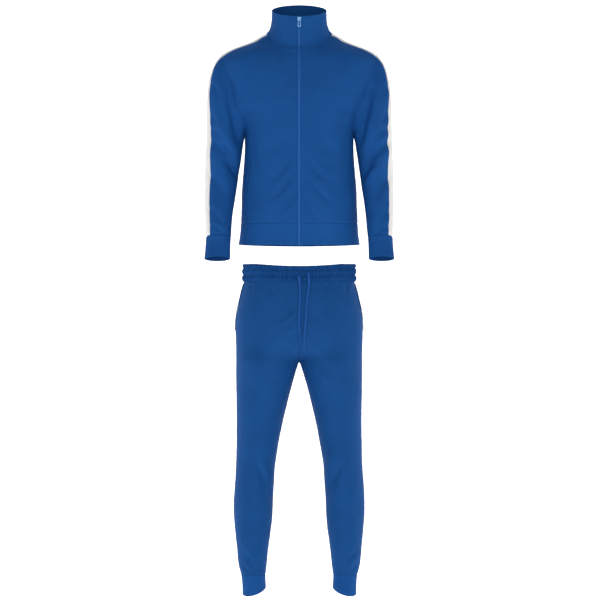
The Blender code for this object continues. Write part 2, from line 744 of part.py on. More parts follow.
def wall_mesh(name, outer, inner, closed):
    """One closed mesh from an outer and an inner grid of points with the same columns."""
    mesh = bpy.data.meshes.new(name)
    bm = bmesh.new()
    outside = [[bm.verts.new(point * MM) for point in row] for row in outer]
    inside = [[bm.verts.new(point * MM) for point in row] for row in inner]
    columns = len(outside[0])
    spans = range(columns if closed else columns - 1)
    for rows, turned in ((outside, False), (inside, True)):
        for row in range(len(rows) - 1):
            for column in spans:
                after = (column + 1) % columns
                a, b = rows[row][column], rows[row][after]
                c, d = rows[row + 1][after], rows[row + 1][column]
                for corners in ((a, b, c), (a, c, d)):
                    bm.faces.new(corners[::-1] if turned else corners)
    for column in spans:
        after = (column + 1) % columns
        bm.faces.new((inside[0][column], inside[0][after], outside[0][after], outside[0][column]))
        bm.faces.new((outside[-1][column], outside[-1][after], inside[-1][after], inside[-1][column]))
    if not closed:
        for row in range(len(outside) - 1):
            bm.faces.new((outside[row][0], outside[row + 1][0], inside[row + 1][0], inside[row][0]))
            bm.faces.new((inside[row][-1], inside[row + 1][-1], outside[row + 1][-1], outside[row][-1]))
    bm.to_mesh(mesh)
    bm.free()
    return mesh


def cloth(name, grid, normals, wall, finish, closed=False):
    outer = pulled_in(grid, closed)
    inner = pulled_in(grid - normals * wall, closed)
    return add_object(name, wall_mesh(name, outer, inner, closed), finish, smooth_angle=50)


def place_on(grid, row, column):
    """A point of a triangulated grid, or of its normals, at a fractional row and column."""
    low_row, low_column = min(int(row), grid.shape[0] - 2), min(int(column), grid.shape[1] - 2)
    up, over = row - low_row, column - low_column
    a, b = grid[low_row, low_column], grid[low_row, low_column + 1]
    c, d = grid[low_row + 1, low_column + 1], grid[low_row + 1, low_column]
    return a + over * (b - a) + up * (c - b) if over >= up else a + up * (d - a) + over * (c - d)


def welt(name, grid, normals, places, thickness, finish):
    """The folded edge of a pocket, laid on a panel, and its mirror image on the other half."""
    low, high = [], []
    for row, first, last in places:
        columns = (first, (first + last) / 2, last)
        point = np.array([place_on(grid, row, column) for column in columns])
        lean = np.array([place_on(normals, row, column) for column in columns])
        low.append(point + lean * LAID_ON_GAP)
        high.append(point + lean * (LAID_ON_GAP + thickness))
    low, high = np.array(low), np.array(high)
    for side, outer, inner in (("left", high, low), ("right", mirrored(high), mirrored(low))):
        full = f"{name}_{side}"
        add_object(full, wall_mesh(full, outer, inner, False), finish, smooth_angle=50)


def zip_line(grids, normals):
    """The edge beside the zip from hem to collar top, with the next column in, and the wall behind each row."""
    rows = []
    for name, wall in (("hem_band", RIB_WALL), ("front_left", BODY_WALL), ("collar", COLLAR_WALL)):
        for row in range(grids[name].shape[0]):
            edge, inside = grids[name][row, :2]
            lean, inner_lean = normals[name][row, :2]
            if rows and np.linalg.norm(rows[-1].edge - edge) < 0.01:
                rows[-1].wall = max(wall, rows[-1].wall)
                continue
            rows.append(SimpleNamespace(edge=edge, inside=inside, lean=lean, inner_lean=inner_lean, wall=wall))
    return rows


def at_x(edge, inside, x):
    share = max(0.0, (x - edge[0]) / (inside[0] - edge[0]))
    point = edge + (inside - edge) * share
    return np.array([x, point[1], point[2]])


def straight_back(lean, distance):
    """A step behind the cloth in the plane of the zip."""
    step = np.array([0.0, lean[1], lean[2]])
    return -step / np.linalg.norm(step) * distance


def build_zip(grids, normals):
    tape_finish = material("zip_tape", TAPE_BLUE)
    chain_finish = material("zip_chain", TAPE_BLUE, 0.5)
    enamel = material("enamelled_metal", ENAMEL_BLUE, 0.35, 0.4)
    rows = zip_line(grids, normals)
    front, back = [], []
    for row in rows:
        near = at_x(row.edge, row.inside, TAPE_INNER_EDGE)
        far = at_x(row.edge, row.inside, TAPE_OUTER_EDGE)
        share = (TAPE_OUTER_EDGE - row.edge[0]) / (row.inside[0] - row.edge[0])
        far_lean = row.lean + (row.inner_lean - row.lean) * share
        for line, depth in ((front, row.wall + TAPE_GAP), (back, row.wall + TAPE_GAP + TAPE_WALL)):
            line.append([near + straight_back(row.lean, depth), far + straight_back(far_lean, depth)])
    front, back = np.array(front), np.array(back)
    for side, outer, inner in (("left", front, back), ("right", mirrored(front), mirrored(back))):
        name = f"jacket_zip_tape_{side}"
        add_object(name, wall_mesh(name, outer, inner, False), tape_finish, smooth_angle=50)
    chain_rows = [row for row in rows if row.edge[2] < SLIDER_LOW - ZIP_LAYER_GAP]
    top, above = chain_rows[-1], rows[len(chain_rows)]
    share = (SLIDER_LOW - ZIP_LAYER_GAP - top.edge[2]) / (above.edge[2] - top.edge[2])
    last = SimpleNamespace(edge=top.edge + share * (above.edge - top.edge), inside=top.inside, lean=top.lean)
    last.wall = top.wall
    outer, inner = [], []
    for row in chain_rows + [last]:
        across = np.array([(x, row.edge[1], row.edge[2]) for x in (-CHAIN_HALF_WIDTH, 0.0, CHAIN_HALF_WIDTH)])
        depth = row.wall + TAPE_GAP - ZIP_LAYER_GAP
        inner.append(across + straight_back(row.lean, depth))
        outer.append(across + straight_back(row.lean, depth - CHAIN_DEPTH))
    mesh = wall_mesh("jacket_zip_chain", np.array(outer), np.array(inner), False)
    add_object("jacket_zip_chain", mesh, chain_finish, smooth_angle=50)
    core_back = COLLAR_FRONT + COLLAR_WALL + TAPE_GAP - ZIP_LAYER_GAP
    loops = []
    for height, half in SLIDER_LEVELS:
        core = min(half - 0.6, SLIDER_CORE_HALF_WIDTH)
        outline = [(-half, PLATE_FRONT), (half, PLATE_FRONT), (half, PLATE_BACK), (core, PLATE_BACK)]
        outline += [(core, core_back), (-core, core_back), (-core, PLATE_BACK), (-half, PLATE_BACK)]
        loops.append([(x, y, height) for x, y in outline])
    lofted("jacket_zip_slider", loops, enamel)
    feet = PLATE_FRONT - 0.3
    inside = TAB_PIVOT_Y - 1.45
    outside = inside - BAIL_STRAP
    arch = [(feet, BAIL_LOW), (inside, BAIL_LOW), (outside, BAIL_LOW + BAIL_STRAP), (outside, BAIL_HIGH - BAIL_STRAP)]
    arch += [(inside, BAIL_HIGH), (feet, BAIL_HIGH), (feet, BAIL_HIGH - BAIL_STRAP), (inside, BAIL_HIGH - BAIL_STRAP)]
    arch += [(inside, BAIL_LOW + BAIL_STRAP), (feet, BAIL_LOW + BAIL_STRAP)]
    lofted("jacket_zip_bail", [[(x, y, z) for y, z in arch] for x in (-BAIL_HALF_WIDTH, BAIL_HALF_WIDTH)], enamel)
    build_pull_tab(enamel)


def build_pull_tab(finish):
    """A flat loop whose top bar turns under the bail: an outer outline and the outline of its opening."""
    outer = [(r.outer, r.height) for r in TAB_ROWS] + [(-r.outer, r.height) for r in reversed(TAB_ROWS)]
    inner = [(r.inner, r.inner_height) for r in TAB_ROWS] + [(-r.inner, r.inner_height) for r in reversed(TAB_ROWS)]
    front, back = TAB_PIVOT_Y - TAB_THICKNESS / 2, TAB_PIVOT_Y + TAB_THICKNESS / 2
    loops = [[(x, y, z) for x, z in line] for line, y in ((outer, front), (outer, back), (inner, back), (inner, front))]
    lofted("jacket_zip_pull_tab", loops, finish, ring=True)


def lofted(name, loops, finish, ring=False):
    """A closed mesh through loops of points, capped at its two ends or joined round into a ring."""
    mesh = bpy.data.meshes.new(name)
    bm = bmesh.new()
    made = [[bm.verts.new(np.array(point) * MM) for point in loop] for loop in loops]
    pairs = list(zip(made, made[1:])) + ([(made[-1], made[0])] if ring else [])
    for low, high in pairs:
        for i in range(len(low)):
            after = (i + 1) % len(low)
            bm.faces.new((low[i], low[after], high[after], high[i]))
    if not ring:
        bm.faces.new(made[0])
        bm.faces.new(made[-1])
    bmesh.ops.recalc_face_normals(bm, faces=bm.faces)
    bmesh.ops.triangulate(bm, faces=bm.faces)
    bm.to_mesh(mesh)
    bm.free()
    return add_object(name, mesh, finish, smooth_angle=30)


def smooth_route(points, spacing):
    """Points an even way apart along a smooth curve through the given ones."""
    points = np.array(points, float)
    ends = np.concatenate([[2 * points[0] - points[1]], points, [2 * points[-1] - points[-2]]])
    line = []
    for i in range(len(points) - 1):
        p0, p1, p2, p3 = ends[i : i + 4]
        for t in np.linspace(0, 1, 20, endpoint=False):
            bend = 2 * p0 - 5 * p1 + 4 * p2 - p3
            line.append(p1 + 0.5 * t * ((p2 - p0) + t * (bend + t * (3 * (p1 - p2) + p3 - p0))))
    line.append(points[-1])
    length = np.linalg.norm(np.diff(line, axis=0), axis=1).sum()
    return evenly_along(line, round(length / spacing))


def build_drawcord():
    finish = material("drawcord", ROYAL_BLUE)
    for side, route in CORD_ROUTES.items():
        points = []
        for x, stand_off, height in route:
            cloth_front = section_y(HIPS, height, x, -1)
            if height > WAIST_SEAM:
                cloth_front -= WAISTBAND[1].proud
            points.append((x, cloth_front - stand_off, height))
        points = smooth_route(points, CORD_SPACING)
        curve = bpy.data.curves.new(f"joggers_drawcord_{side}", "CURVE")
        curve.dimensions = "3D"
        curve.bevel_depth = CORD_DIAMETER / 2 * MM
        curve.bevel_resolution = 2
        curve.use_fill_caps = True
        spline = curve.splines.new("POLY")
        spline.points.add(len(points) - 1)
        for knot, point in zip(spline.points, points):
            knot.co = (*(point * MM), 1.0)
        add_object(curve.name, curve, finish)


def build_jacket():
    blue = material("royal_blue_knit", ROYAL_BLUE)
    rib = material("royal_blue_rib", RIB_BLUE)
    white = material("white_stripe", OFF_WHITE)
    front_half, back_half = body_half(-1), body_half(1)
    stripe = shoulder_stripe(front_half, back_half)
    whole_sleeve = sleeve(front_half, back_half, stripe)
    stripe_start, stripe_end = ARMHOLE_ROWS, ARMHOLE_ROWS + STRIPE_COLUMNS
    main = np.concatenate([whole_sleeve[:, stripe_end:-1], whole_sleeve[:, : stripe_start + 1]], axis=1)
    sleeve_stripe = whole_sleeve[:, stripe_start : stripe_end + 1]
    back_full = np.concatenate([back_half[:, ::-1], mirrored(back_half[:, ::-1])[:, 1:]], axis=1)
    halves = {
        "front": front_half,
        "shoulder_stripe": stripe,
        "sleeve": main,
        "sleeve_stripe": sleeve_stripe,
        "sleeve_cuff": cuff(whole_sleeve),
    }
    grids = {"back": back_full, "hem_band": hem_band(front_half, back_half), "collar": collar(stripe)}
    for name, grid in halves.items():
        grids[name + "_left"] = grid
        grids[name + "_right"] = mirrored(grid)
    closed = {"sleeve_cuff_left", "sleeve_cuff_right"}
    grids = folded(grids, outward_normals(grids, closed), JACKET_FOLDS)
    normals = outward_normals(grids, closed)
    looks = {"collar": (COLLAR_WALL, blue), "hem": (RIB_WALL, rib), "sleeve_cuff": (RIB_WALL, rib)}
    looks |= {"shoulder_stripe": (BODY_WALL, white), "sleeve_stripe": (BODY_WALL, white)}
    for name, grid in grids.items():
        wall, finish = next((v for k, v in looks.items() if name.startswith(k)), (BODY_WALL, blue))
        cloth("jacket_" + name, grid, normals[name], wall, finish, name in closed)
    welt("jacket_pocket_welt", grids["front_left"], normals["front_left"], JACKET_WELT, 1.2, rib)
    build_zip(grids, normals)


def build_joggers():
    blue = material("royal_blue_knit", ROYAL_BLUE)
    rib = material("royal_blue_rib", RIB_BLUE)
    front, back = leg_quarter(-1), leg_quarter(1)
    grids = {}
    for name, grid in {
        "front": front,
        "back": back[:, ::-1],
        "ankle_cuff": ankle_cuff(front, back),
    }.items():
        grids[name + "_left"] = grid
        grids[name + "_right"] = mirrored(grid)
    closed = {"ankle_cuff_left", "ankle_cuff_right"}
    grids = folded(grids, outward_normals(grids, closed), JOGGER_FOLDS)
    normals = outward_normals(grids, closed)
    for name, grid in grids.items():
        if name in closed:
            cloth("joggers_" + name, grid, normals[name], RIB_WALL, rib, True)
        else:
            cloth("joggers_" + name, grid, normals[name], BODY_WALL, blue)
    welt("joggers_pocket_welt", grids["front_left"], normals["front_left"], JOGGERS_WELT, 1.2, rib)


def build_waistband():
    """The elastic waistband: three puffed rows of gathers between two stitched lines and the seam."""
    columns = 2 * GATHERS
    ring = [half_section(HIPS, WAIST_SEAM, -1, 0.0, 150), half_section(HIPS, WAIST_SEAM, 1, 0.0, 150)[::-1]]
    half = np.concatenate([ring[0], ring[1][1:]])
    full = np.concatenate([half, (half * np.array([-1, 1, 1]))[::-1][1:]])
    base = evenly_along(full, columns)[:-1]
    step = np.roll(base, -1, axis=0) - np.roll(base, 1, axis=0)
    out = np.stack([step[:, 1], -step[:, 0], np.zeros(columns)], 1)
    out /= np.linalg.norm(out, axis=1, keepdims=True)
    wave = np.where(np.arange(columns) % 2 == 0, 1.0, -1.0)[:, None]
    top = WAIST_TOP - WAIST_TOP_DIP * np.maximum(0.0, 1 - (base[:, 0] / 130.0) ** 2)
    seam = WAIST_SEAM + SEAM_GAP
    outer = []
    for row in WAISTBAND:
        points = base + out * (row.proud + GATHER_HEIGHT * row.gather * wave)
        points[:, 2] = seam + (top - seam) * row.share
        outer.append(points)
    inner = []
    for share in (0.0, 1.0):
        points = base - out * (RIB_WALL + 0.6)
        points[:, 2] = seam + (top - seam) * share
        inner.append(points)
    mesh = bpy.data.meshes.new("joggers_waistband")
    bm = bmesh.new()
    loops = [[bm.verts.new(p * MM) for p in row] for row in outer + inner[::-1]]
    for low, high in zip(loops, loops[1:] + loops[:1]):
        for column in range(columns):
            after = (column + 1) % columns
            bm.faces.new((low[column], low[after], high[after], high[column]))
    bm.to_mesh(mesh)
    bm.free()
    return add_object("joggers_waistband", mesh, material("royal_blue_rib", RIB_BLUE), smooth_angle=50)


def main():
    for obj in list(bpy.data.objects):
        bpy.data.objects.remove(obj)
    build_jacket()
    build_joggers()
    build_waistband()
    build_drawcord()


main()
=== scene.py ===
# %% [markdown]
# # A tracksuit, jacket and joggers
# The two garments hang in the air as if somebody wore them: a royal blue zip-up jacket with a white stripe
# over each shoulder and down each sleeve, and joggers with a gathered elastic waist and a drawcord.
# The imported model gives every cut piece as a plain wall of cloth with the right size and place. This
# lesson gives them their looks: one soft skin for each garment, with its creases and seams pressed into it,
# then cut back into the sewn pieces, and on top of them the thread, the zip, the waistband and the cord.

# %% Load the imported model
import math

import bmesh
import bpy
import numpy as np
from mathutils import Matrix, Vector, noise
from mathutils.bvhtree import BVHTree
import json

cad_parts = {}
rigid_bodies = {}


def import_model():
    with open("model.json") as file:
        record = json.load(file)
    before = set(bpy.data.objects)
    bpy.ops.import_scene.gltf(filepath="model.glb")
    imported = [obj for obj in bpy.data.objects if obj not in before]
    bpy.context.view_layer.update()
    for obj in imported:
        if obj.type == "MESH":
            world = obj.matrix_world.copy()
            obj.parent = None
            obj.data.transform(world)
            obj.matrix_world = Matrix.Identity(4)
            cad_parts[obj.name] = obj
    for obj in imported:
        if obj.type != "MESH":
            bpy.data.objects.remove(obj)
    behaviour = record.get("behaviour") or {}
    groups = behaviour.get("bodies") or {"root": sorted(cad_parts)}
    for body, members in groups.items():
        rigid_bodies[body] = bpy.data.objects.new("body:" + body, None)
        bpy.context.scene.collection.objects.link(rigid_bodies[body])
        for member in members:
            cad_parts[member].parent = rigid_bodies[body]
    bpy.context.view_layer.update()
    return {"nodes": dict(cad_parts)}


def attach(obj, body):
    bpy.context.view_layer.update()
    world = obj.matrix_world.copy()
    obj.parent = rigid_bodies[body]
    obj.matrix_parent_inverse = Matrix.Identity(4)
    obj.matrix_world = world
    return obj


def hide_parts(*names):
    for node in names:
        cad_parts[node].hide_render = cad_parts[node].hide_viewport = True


for thing in list(bpy.data.objects):
    bpy.data.objects.remove(thing)
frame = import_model()
nodes = frame["nodes"]
MM = 0.001
SUIT, TAB = "suit", "pull_tab"
SIDES = (("left", 1), ("right", -1))

# %% [markdown]
# ## The camera
# The photo was taken from straight in front with a long lens, so that the sides of the sleeves and legs
# run nearly parallel. The frame is square and 1.89 m high at the garments.

# %% The camera
FRAME_HEIGHT = 1.89
CAMERA_DISTANCE = 12.0
camera_data = bpy.data.cameras.new("camera")
camera_data.sensor_width = 36
camera_data.lens = 36 * CAMERA_DISTANCE / FRAME_HEIGHT
camera_data.clip_end = 60
camera = bpy.data.objects.new("camera", camera_data)
camera.location = (0.0024, -CAMERA_DISTANCE, -0.8347)
camera.rotation_euler = (math.pi / 2, 0, 0)
bpy.context.scene.collection.objects.link(camera)
bpy.context.scene.camera = camera
print("lens:", round(camera_data.lens), "mm")

# %% [markdown]
# ## The knit
# The cloth is a warp-knitted polyester: from close by it has fine upright ribs, the wales, crossed by
# looser rows, and from a step away it is smooth with a soft shine. A picture of cloth would repeat and
# would need a file, so the wales are two wave textures on the piece's own UV map, which is laid out in
# metres, and a noise gives the dye its slight unevenness.


# %% A material helper
def new_material(name):
    made = bpy.data.materials.new(name)
    made.use_nodes = True
    tree = made.node_tree
    shader = tree.nodes["Principled BSDF"]

    def node(kind, **values):
        added = tree.nodes.new(kind)
        for key, value in values.items():
            if hasattr(added, key):
                setattr(added, key, value)
            else:
                added.inputs[key.replace("_", " ")].default_value = value
        return added

    return made, shader, node, tree.links.new


def uneven_dye(node, link, shader, coordinates, colour, spread, scale):
    """Two close shades of one dye, mixed by a soft noise."""
    patches = node("ShaderNodeTexNoise", Scale=scale, Detail=3.0, Roughness=0.6)
    link(coordinates, patches.inputs["Vector"])
    ramp = node("ShaderNodeValToRGB")
    ramp.color_ramp.elements[0].position = 0.35
    ramp.color_ramp.elements[1].position = 0.65
    ramp.color_ramp.elements[0].color = (*[c * (1 - spread) for c in colour], 1)
    ramp.color_ramp.elements[1].color = (*[c * (1 + spread) for c in colour], 1)
    link(patches.outputs["Fac"], ramp.inputs["Fac"])
    link(ramp.outputs["Color"], shader.inputs["Base Color"])


# %% The knits
def knit(name, colour, wale, relief, roughness=0.66, sheen=0.09, tint=(0.03, 0.28, 1.0), spread=0.05):
    """Upright wales of the given width in metres, crossed by finer courses."""
    made, shader, node, link = new_material(name)
    where = node("ShaderNodeTexCoord")
    uneven_dye(node, link, shader, where.outputs["Object"], colour, spread, 14.0)
    bands = []
    for direction, width, wobble in (("X", wale, 0.6), ("Y", wale * 0.8, 1.2)):
        wave = node("ShaderNodeTexWave", bands_direction=direction, Scale=0.3142 / width, Distortion=wobble)
        wave.inputs["Detail"].default_value = 1.0
        wave.inputs["Detail Scale"].default_value = 2.0
        link(where.outputs["UV"], wave.inputs["Vector"])
        bands.append(wave)
    both = node("ShaderNodeMath", operation="MULTIPLY_ADD")
    both.inputs[1].default_value = 0.35
    link(bands[1].outputs["Fac"], both.inputs[0])
    link(bands[0].outputs["Fac"], both.inputs[2])
    fuzz = node("ShaderNodeTexNoise", Scale=900.0, Detail=2.0)
    link(where.outputs["Object"], fuzz.inputs["Vector"])
    height = node("ShaderNodeMath", operation="MULTIPLY_ADD")
    height.inputs[1].default_value = 0.5
    link(fuzz.outputs["Fac"], height.inputs[0])
    link(both.outputs["Value"], height.inputs[2])
    bump = node("ShaderNodeBump", Strength=0.55, Distance=relief)
    link(height.outputs["Value"], bump.inputs["Height"])
    link(bump.outputs["Normal"], shader.inputs["Normal"])
    shader.inputs["Roughness"].default_value = roughness
    shader.inputs["Specular IOR Level"].default_value = 0.04
    shader.inputs["Sheen Weight"].default_value = sheen
    shader.inputs["Sheen Roughness"].default_value = 0.45
    shader.inputs["Sheen Tint"].default_value = (*tint, 1)
    return made


body_knit = knit("body_knit", (0.0088, 0.0690, 0.248), 0.0011, 0.00022)
joggers_knit = knit("joggers_knit", (0.0078, 0.0625, 0.218), 0.0011, 0.00022)
cuff_rib = knit("cuff_rib", (0.0090, 0.0710, 0.255), 0.0026, 0.0006, roughness=0.7)
gathered_knit = knit("gathered_knit", (0.0072, 0.0575, 0.205), 0.0011, 0.00022, roughness=0.7)
OFF_WHITE, WHITE = (0.73, 0.73, 0.72), (1.0, 1.0, 1.0)
stripe_knit = knit("stripe_knit", OFF_WHITE, 0.0011, 0.00018, sheen=0.02, tint=WHITE, spread=0.015)
print("knits:", [m.name for m in (body_knit, joggers_knit, cuff_rib, gathered_knit, stripe_knit)])

# %% [markdown]
# ## The thread, the zip's tape and teeth, the slider with its painted reflection, and the cord
# The thread matches the cloth and is a little shinier. The zip's tape is a flat weave with a fine
# chevron, its teeth are moulded nylon, and the slider and pull tab are zinc dyed to match the cloth, painted a paler
# blue as their reflection.


# %% The trimmings' materials
def plain(name, colour, roughness, metallic=0.0, spread=0.06, scale=60.0, relief=0.0, grain=800.0, coat=0.0, shine=0.1):
    made, shader, node, link = new_material(name)
    where = node("ShaderNodeTexCoord")
    uneven_dye(node, link, shader, where.outputs["Object"], colour, spread, scale)
    if relief:
        grains = node("ShaderNodeTexNoise", Scale=grain, Detail=2.0)
        link(where.outputs["Object"], grains.inputs["Vector"])
        bump = node("ShaderNodeBump", Strength=0.5, Distance=relief)
        link(grains.outputs["Fac"], bump.inputs["Height"])
        link(bump.outputs["Normal"], shader.inputs["Normal"])
    shader.inputs["Roughness"].default_value = roughness
    shader.inputs["Metallic"].default_value = metallic
    shader.inputs["Specular IOR Level"].default_value = shine
    shader.inputs["Coat Weight"].default_value = coat
    shader.inputs["Coat Roughness"].default_value = 0.12
    return made


thread = plain("thread", (0.014, 0.082, 0.290), 0.5, relief=0.0001)
white_thread = plain("white_thread", (0.70, 0.70, 0.69), 0.5, relief=0.0001)
tape_weave = plain("tape_weave", (0.014, 0.098, 0.345), 0.6, relief=0.0002, grain=1200.0)
zip_teeth = plain("zip_teeth", (0.020, 0.120, 0.400), 0.42, relief=0.00005, shine=0.25)
# painted reflection: the slider's blue is lighter than its dye, to stand for the shine of the metal
dyed_zinc_painted_reflection = plain("dyed_zinc_painted_reflection", (0.13, 0.33, 0.62), 0.3, metallic=0.25, spread=0.04, relief=0.00003, coat=0.5, shine=0.5)
cord_braid = plain("cord_braid", (0.0115, 0.084, 0.325), 0.6, relief=0.0003, grain=500.0)
print("trimmings:", thread.name, tape_weave.name, zip_teeth.name, dyed_zinc_painted_reflection.name, cord_braid.name)

# %% [markdown]
# ## What every piece needs
# Each new object gets its material and the moving body it belongs to.

# %% Making a piece
def finish_piece(obj, material, body):
    obj.data.materials.clear()
    obj.data.materials.append(material)
    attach(obj, body)
    return obj


def new_object(name, mesh, smooth=True):
    """A bmesh as an object in the scene."""
    data = bpy.data.meshes.new(name)
    mesh.to_mesh(data)
    mesh.free()
    if smooth:
        data.shade_smooth()
    obj = bpy.data.objects.new(name, data)
    bpy.context.scene.collection.objects.link(obj)
    return obj


# %% [markdown]
# ## The drawcord
# A soft flat braid comes out of the band through two worked holes and its two cut ends hang free, one longer
# than the other. A strip with a picture of a braid on it would look painted, so eight real strands are laid
# over and under each other round a flat core. Each strand runs from edge to edge of the braid and back,
# and it goes over or under at each crossing by a simple rule, that the strands' two numbers are even or odd.

# %% The cord's route
CORD_WIDTH, CORD_THICKNESS = 0.0066, 0.0026
CORD_ROUTES = {
    # x, y and z of the middle line in metres, from the hole in the band to the cut end
    "right": [
        (-0.0008, -0.1153, -0.756),
        (-0.0008, -0.1196, -0.760),
        (-0.0004, -0.1200, -0.768),
        (0.0016, -0.1197, -0.790),
        (0.0024, -0.1234, -0.819),
        (0.0008, -0.1278, -0.862),
        (-0.0008, -0.1302, -0.904),
        (0.0014, -0.1324, -0.940),
        (0.0039, -0.1397, -0.973),
    ],
    "left": [
        (0.0276, -0.1154, -0.747),
        (0.0282, -0.1188, -0.751),
        (0.0294, -0.1191, -0.759),
        (0.0307, -0.1185, -0.786),
        (0.0276, -0.1225, -0.815),
        (0.0244, -0.1254, -0.841),
        (0.0213, -0.1305, -0.891),
        (0.0170, -0.1335, -0.936),
        (0.0154, -0.1379, -0.968),
        (0.0150, -0.1448, -0.997),
    ],
}


def smooth_line(points, step):
    """Points an even step apart along a smooth curve through the given ones."""
    points = np.array(points, float)
    ends = np.concatenate([[2 * points[0] - points[1]], points, [2 * points[-1] - points[-2]]])
    fine = []
    for a, b, c, d in zip(ends, ends[1:], ends[2:], ends[3:]):
        for t in np.arange(0, 1, 0.02):
            bend = (2 * a - 5 * b + 4 * c - d) * t**2 + (3 * b - a - 3 * c + d) * t**3
            fine.append(0.5 * (2 * b + (c - a) * t + bend))
    fine = np.array(fine + [points[-1]])
    travelled = np.concatenate([[0], np.cumsum(np.linalg.norm(np.diff(fine, axis=0), axis=1))])
    places = np.linspace(0, travelled[-1], max(2, round(travelled[-1] / step) + 1))
    return np.column_stack([np.interp(places, travelled, fine[:, k]) for k in range(3)]), travelled[-1]


# %% Plaiting the braid
STRANDS, PLAIT = 8, 0.0125


def sweep(mesh, middles, acrosses, outs, half_width, half_height, sides):
    """An oval section along a line, closed at both ends; the half width may be a list."""
    rings = []
    for number, (middle, across, out) in enumerate(zip(middles, acrosses, outs)):
        wide = half_width[number] if hasattr(half_width, "__len__") else half_width
        ring = []
        for side in range(sides):
            angle = math.tau * side / sides
            sideways = across * (math.cos(angle) * wide)
            ring.append(mesh.verts.new(middle + sideways + out * (math.sin(angle) * half_height)))
        rings.append(ring)
    for low, high in zip(rings, rings[1:]):
        for side in range(sides):
            after = (side + 1) % sides
            mesh.faces.new((low[side], low[after], high[after], high[side]))
    mesh.faces.new(rings[0][::-1])
    mesh.faces.new(rings[-1])


def over_or_under(strand, slot):
    """Whether a strand lies over (1) or under (-1) the one it meets at a slot of the plait."""
    turn = slot / (2 * STRANDS) + strand / STRANDS
    going_right = turn % 1 < 0.5
    other = round(-slot - strand) % STRANDS
    if other == strand:
        return 0
    return (1 if going_right else -1) * (1 if (strand + other) % 2 == 0 else -1)


def braid(points, turned):
    """A flat braid along the points, its face turned a little by the given number of radians on its way."""
    mesh = bmesh.new()
    count = len(points)
    places = [Vector(p) for p in points]
    along = [(places[min(i + 1, count - 1)] - places[max(i - 1, 0)]).normalized() for i in range(count)]
    across, outs = [], []
    for i, direction in enumerate(along):
        flat = (Vector((1, 0, 0)) - direction * direction.x).normalized()
        out = direction.cross(flat)
        turn = turned * math.sin(math.pi * i / count * 1.7) ** 2
        across.append(flat * math.cos(turn) + out * math.sin(turn))
        outs.append(out * math.cos(turn) - flat * math.sin(turn))
    sweep(mesh, places, across, outs, CORD_WIDTH * 0.46, CORD_THICKNESS * 0.26, 8)
    step = (places[1] - places[0]).length
    for strand in range(STRANDS):
        middles = []
        for i in range(count):
            slot = i * step / PLAIT * 2 * STRANDS
            turn = (slot / (2 * STRANDS) + strand / STRANDS) % 1
            sideways = 4 * turn - 1 if turn < 0.5 else 3 - 4 * turn
            sideways = math.sin(sideways * math.pi / 2 * 0.92) / math.sin(math.pi / 2 * 0.92)
            before, share = math.floor(slot), slot % 1
            share = share * share * (3 - 2 * share)
            height = over_or_under(strand, before) * (1 - share) + over_or_under(strand, before + 1) * share
            rounding = math.sqrt(max(0.0, 1 - 0.7 * sideways**2))
            move = across[i] * (sideways * CORD_WIDTH * 0.42)
            middles.append(places[i] + move + outs[i] * (height * CORD_THICKNESS * 0.24 * rounding))
        sweep(mesh, middles, across, outs, 0.00062, 0.00036, 4)
    return mesh


for side, turned in (("right", 0.35), ("left", -0.3)):
    step = PLAIT / (3 * STRANDS) * 1
    points, length = smooth_line(CORD_ROUTES[side], step)
    name = f"joggers_drawcord_{side}"
    cord = new_object(name + "_braid", braid(points, turned))
    finish_piece(cord, cord_braid, SUIT)
    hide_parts(name)
    print(name, round(float(length), 3), "m,", len(cord.data.polygons), "faces")

# %% [markdown]
# ## One skin for a whole garment
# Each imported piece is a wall: an outer and an inner face, joined by a narrow rim. Only the outer face is
# taken. The faces of all the pieces are then merged along their seams, so that the smoothing and the
# creases run on from one panel to the next, as they do in sewn cloth. A material index remembers which
# piece each face came from.

# %% Taking a piece's outer face
RIM_WIDTH = 0.0034


def outer_face(name):
    """The outer face of a packed wall of cloth, as quads."""
    mesh = bmesh.new()
    mesh.from_mesh(nodes[name].data)
    bmesh.ops.remove_doubles(mesh, verts=mesh.verts, dist=2e-5)
    rim = [f for f in mesh.faces if min(e.calc_length() for e in f.edges) < RIM_WIDTH]
    bmesh.ops.delete(mesh, geom=rim, context="FACES")
    unseen, sheets = set(mesh.faces), []
    while unseen:
        reached = [unseen.pop()]
        for face in reached:
            for edge in face.edges:
                for other in edge.link_faces:
                    if other in unseen:
                        unseen.discard(other)
                        reached.append(other)
        sheets.append(reached)
    sheets.sort(key=lambda faces: sum(f.calc_area() for f in faces))
    bmesh.ops.delete(mesh, geom=[f for s in sheets[:-1] for f in s], context="FACES")
    bmesh.ops.join_triangles(
        mesh, faces=mesh.faces, angle_face_threshold=math.pi, angle_shape_threshold=math.pi, topology_influence=1.5
    )
    return mesh


# %% Joining the pieces and smoothing them
FINENESS = 3


def garment_skin(names):
    """All the pieces' outer faces as one smooth mesh, each face numbered by its piece."""
    whole = bmesh.new()
    for number, name in enumerate(names):
        piece = outer_face(name)
        for face in piece.faces:
            face.material_index = number
            face.smooth = True
        part = bpy.data.meshes.new(name)
        piece.to_mesh(part)
        piece.free()
        whole.from_mesh(part)
        bpy.data.meshes.remove(part)
    bmesh.ops.remove_doubles(whole, verts=whole.verts, dist=0.0009)
    odd = sum(len(f.verts) != 4 for f in whole.faces)
    bmesh.ops.recalc_face_normals(whole, faces=whole.faces)
    mesh = bpy.data.meshes.new("skin")
    whole.to_mesh(mesh)
    whole.free()
    holder = bpy.data.objects.new("skin", mesh)
    bpy.context.scene.collection.objects.link(holder)
    smooth = holder.modifiers.new("smooth", "SUBSURF")
    smooth.levels = smooth.render_levels = FINENESS
    smooth.boundary_smooth = "PRESERVE_CORNERS"
    finished = bpy.data.meshes.new_from_object(holder.evaluated_get(bpy.context.evaluated_depsgraph_get()))
    bpy.data.objects.remove(holder)
    print(len(names), "pieces,", len(finished.polygons), "faces,", odd, "not four-sided before smoothing")
    return finished
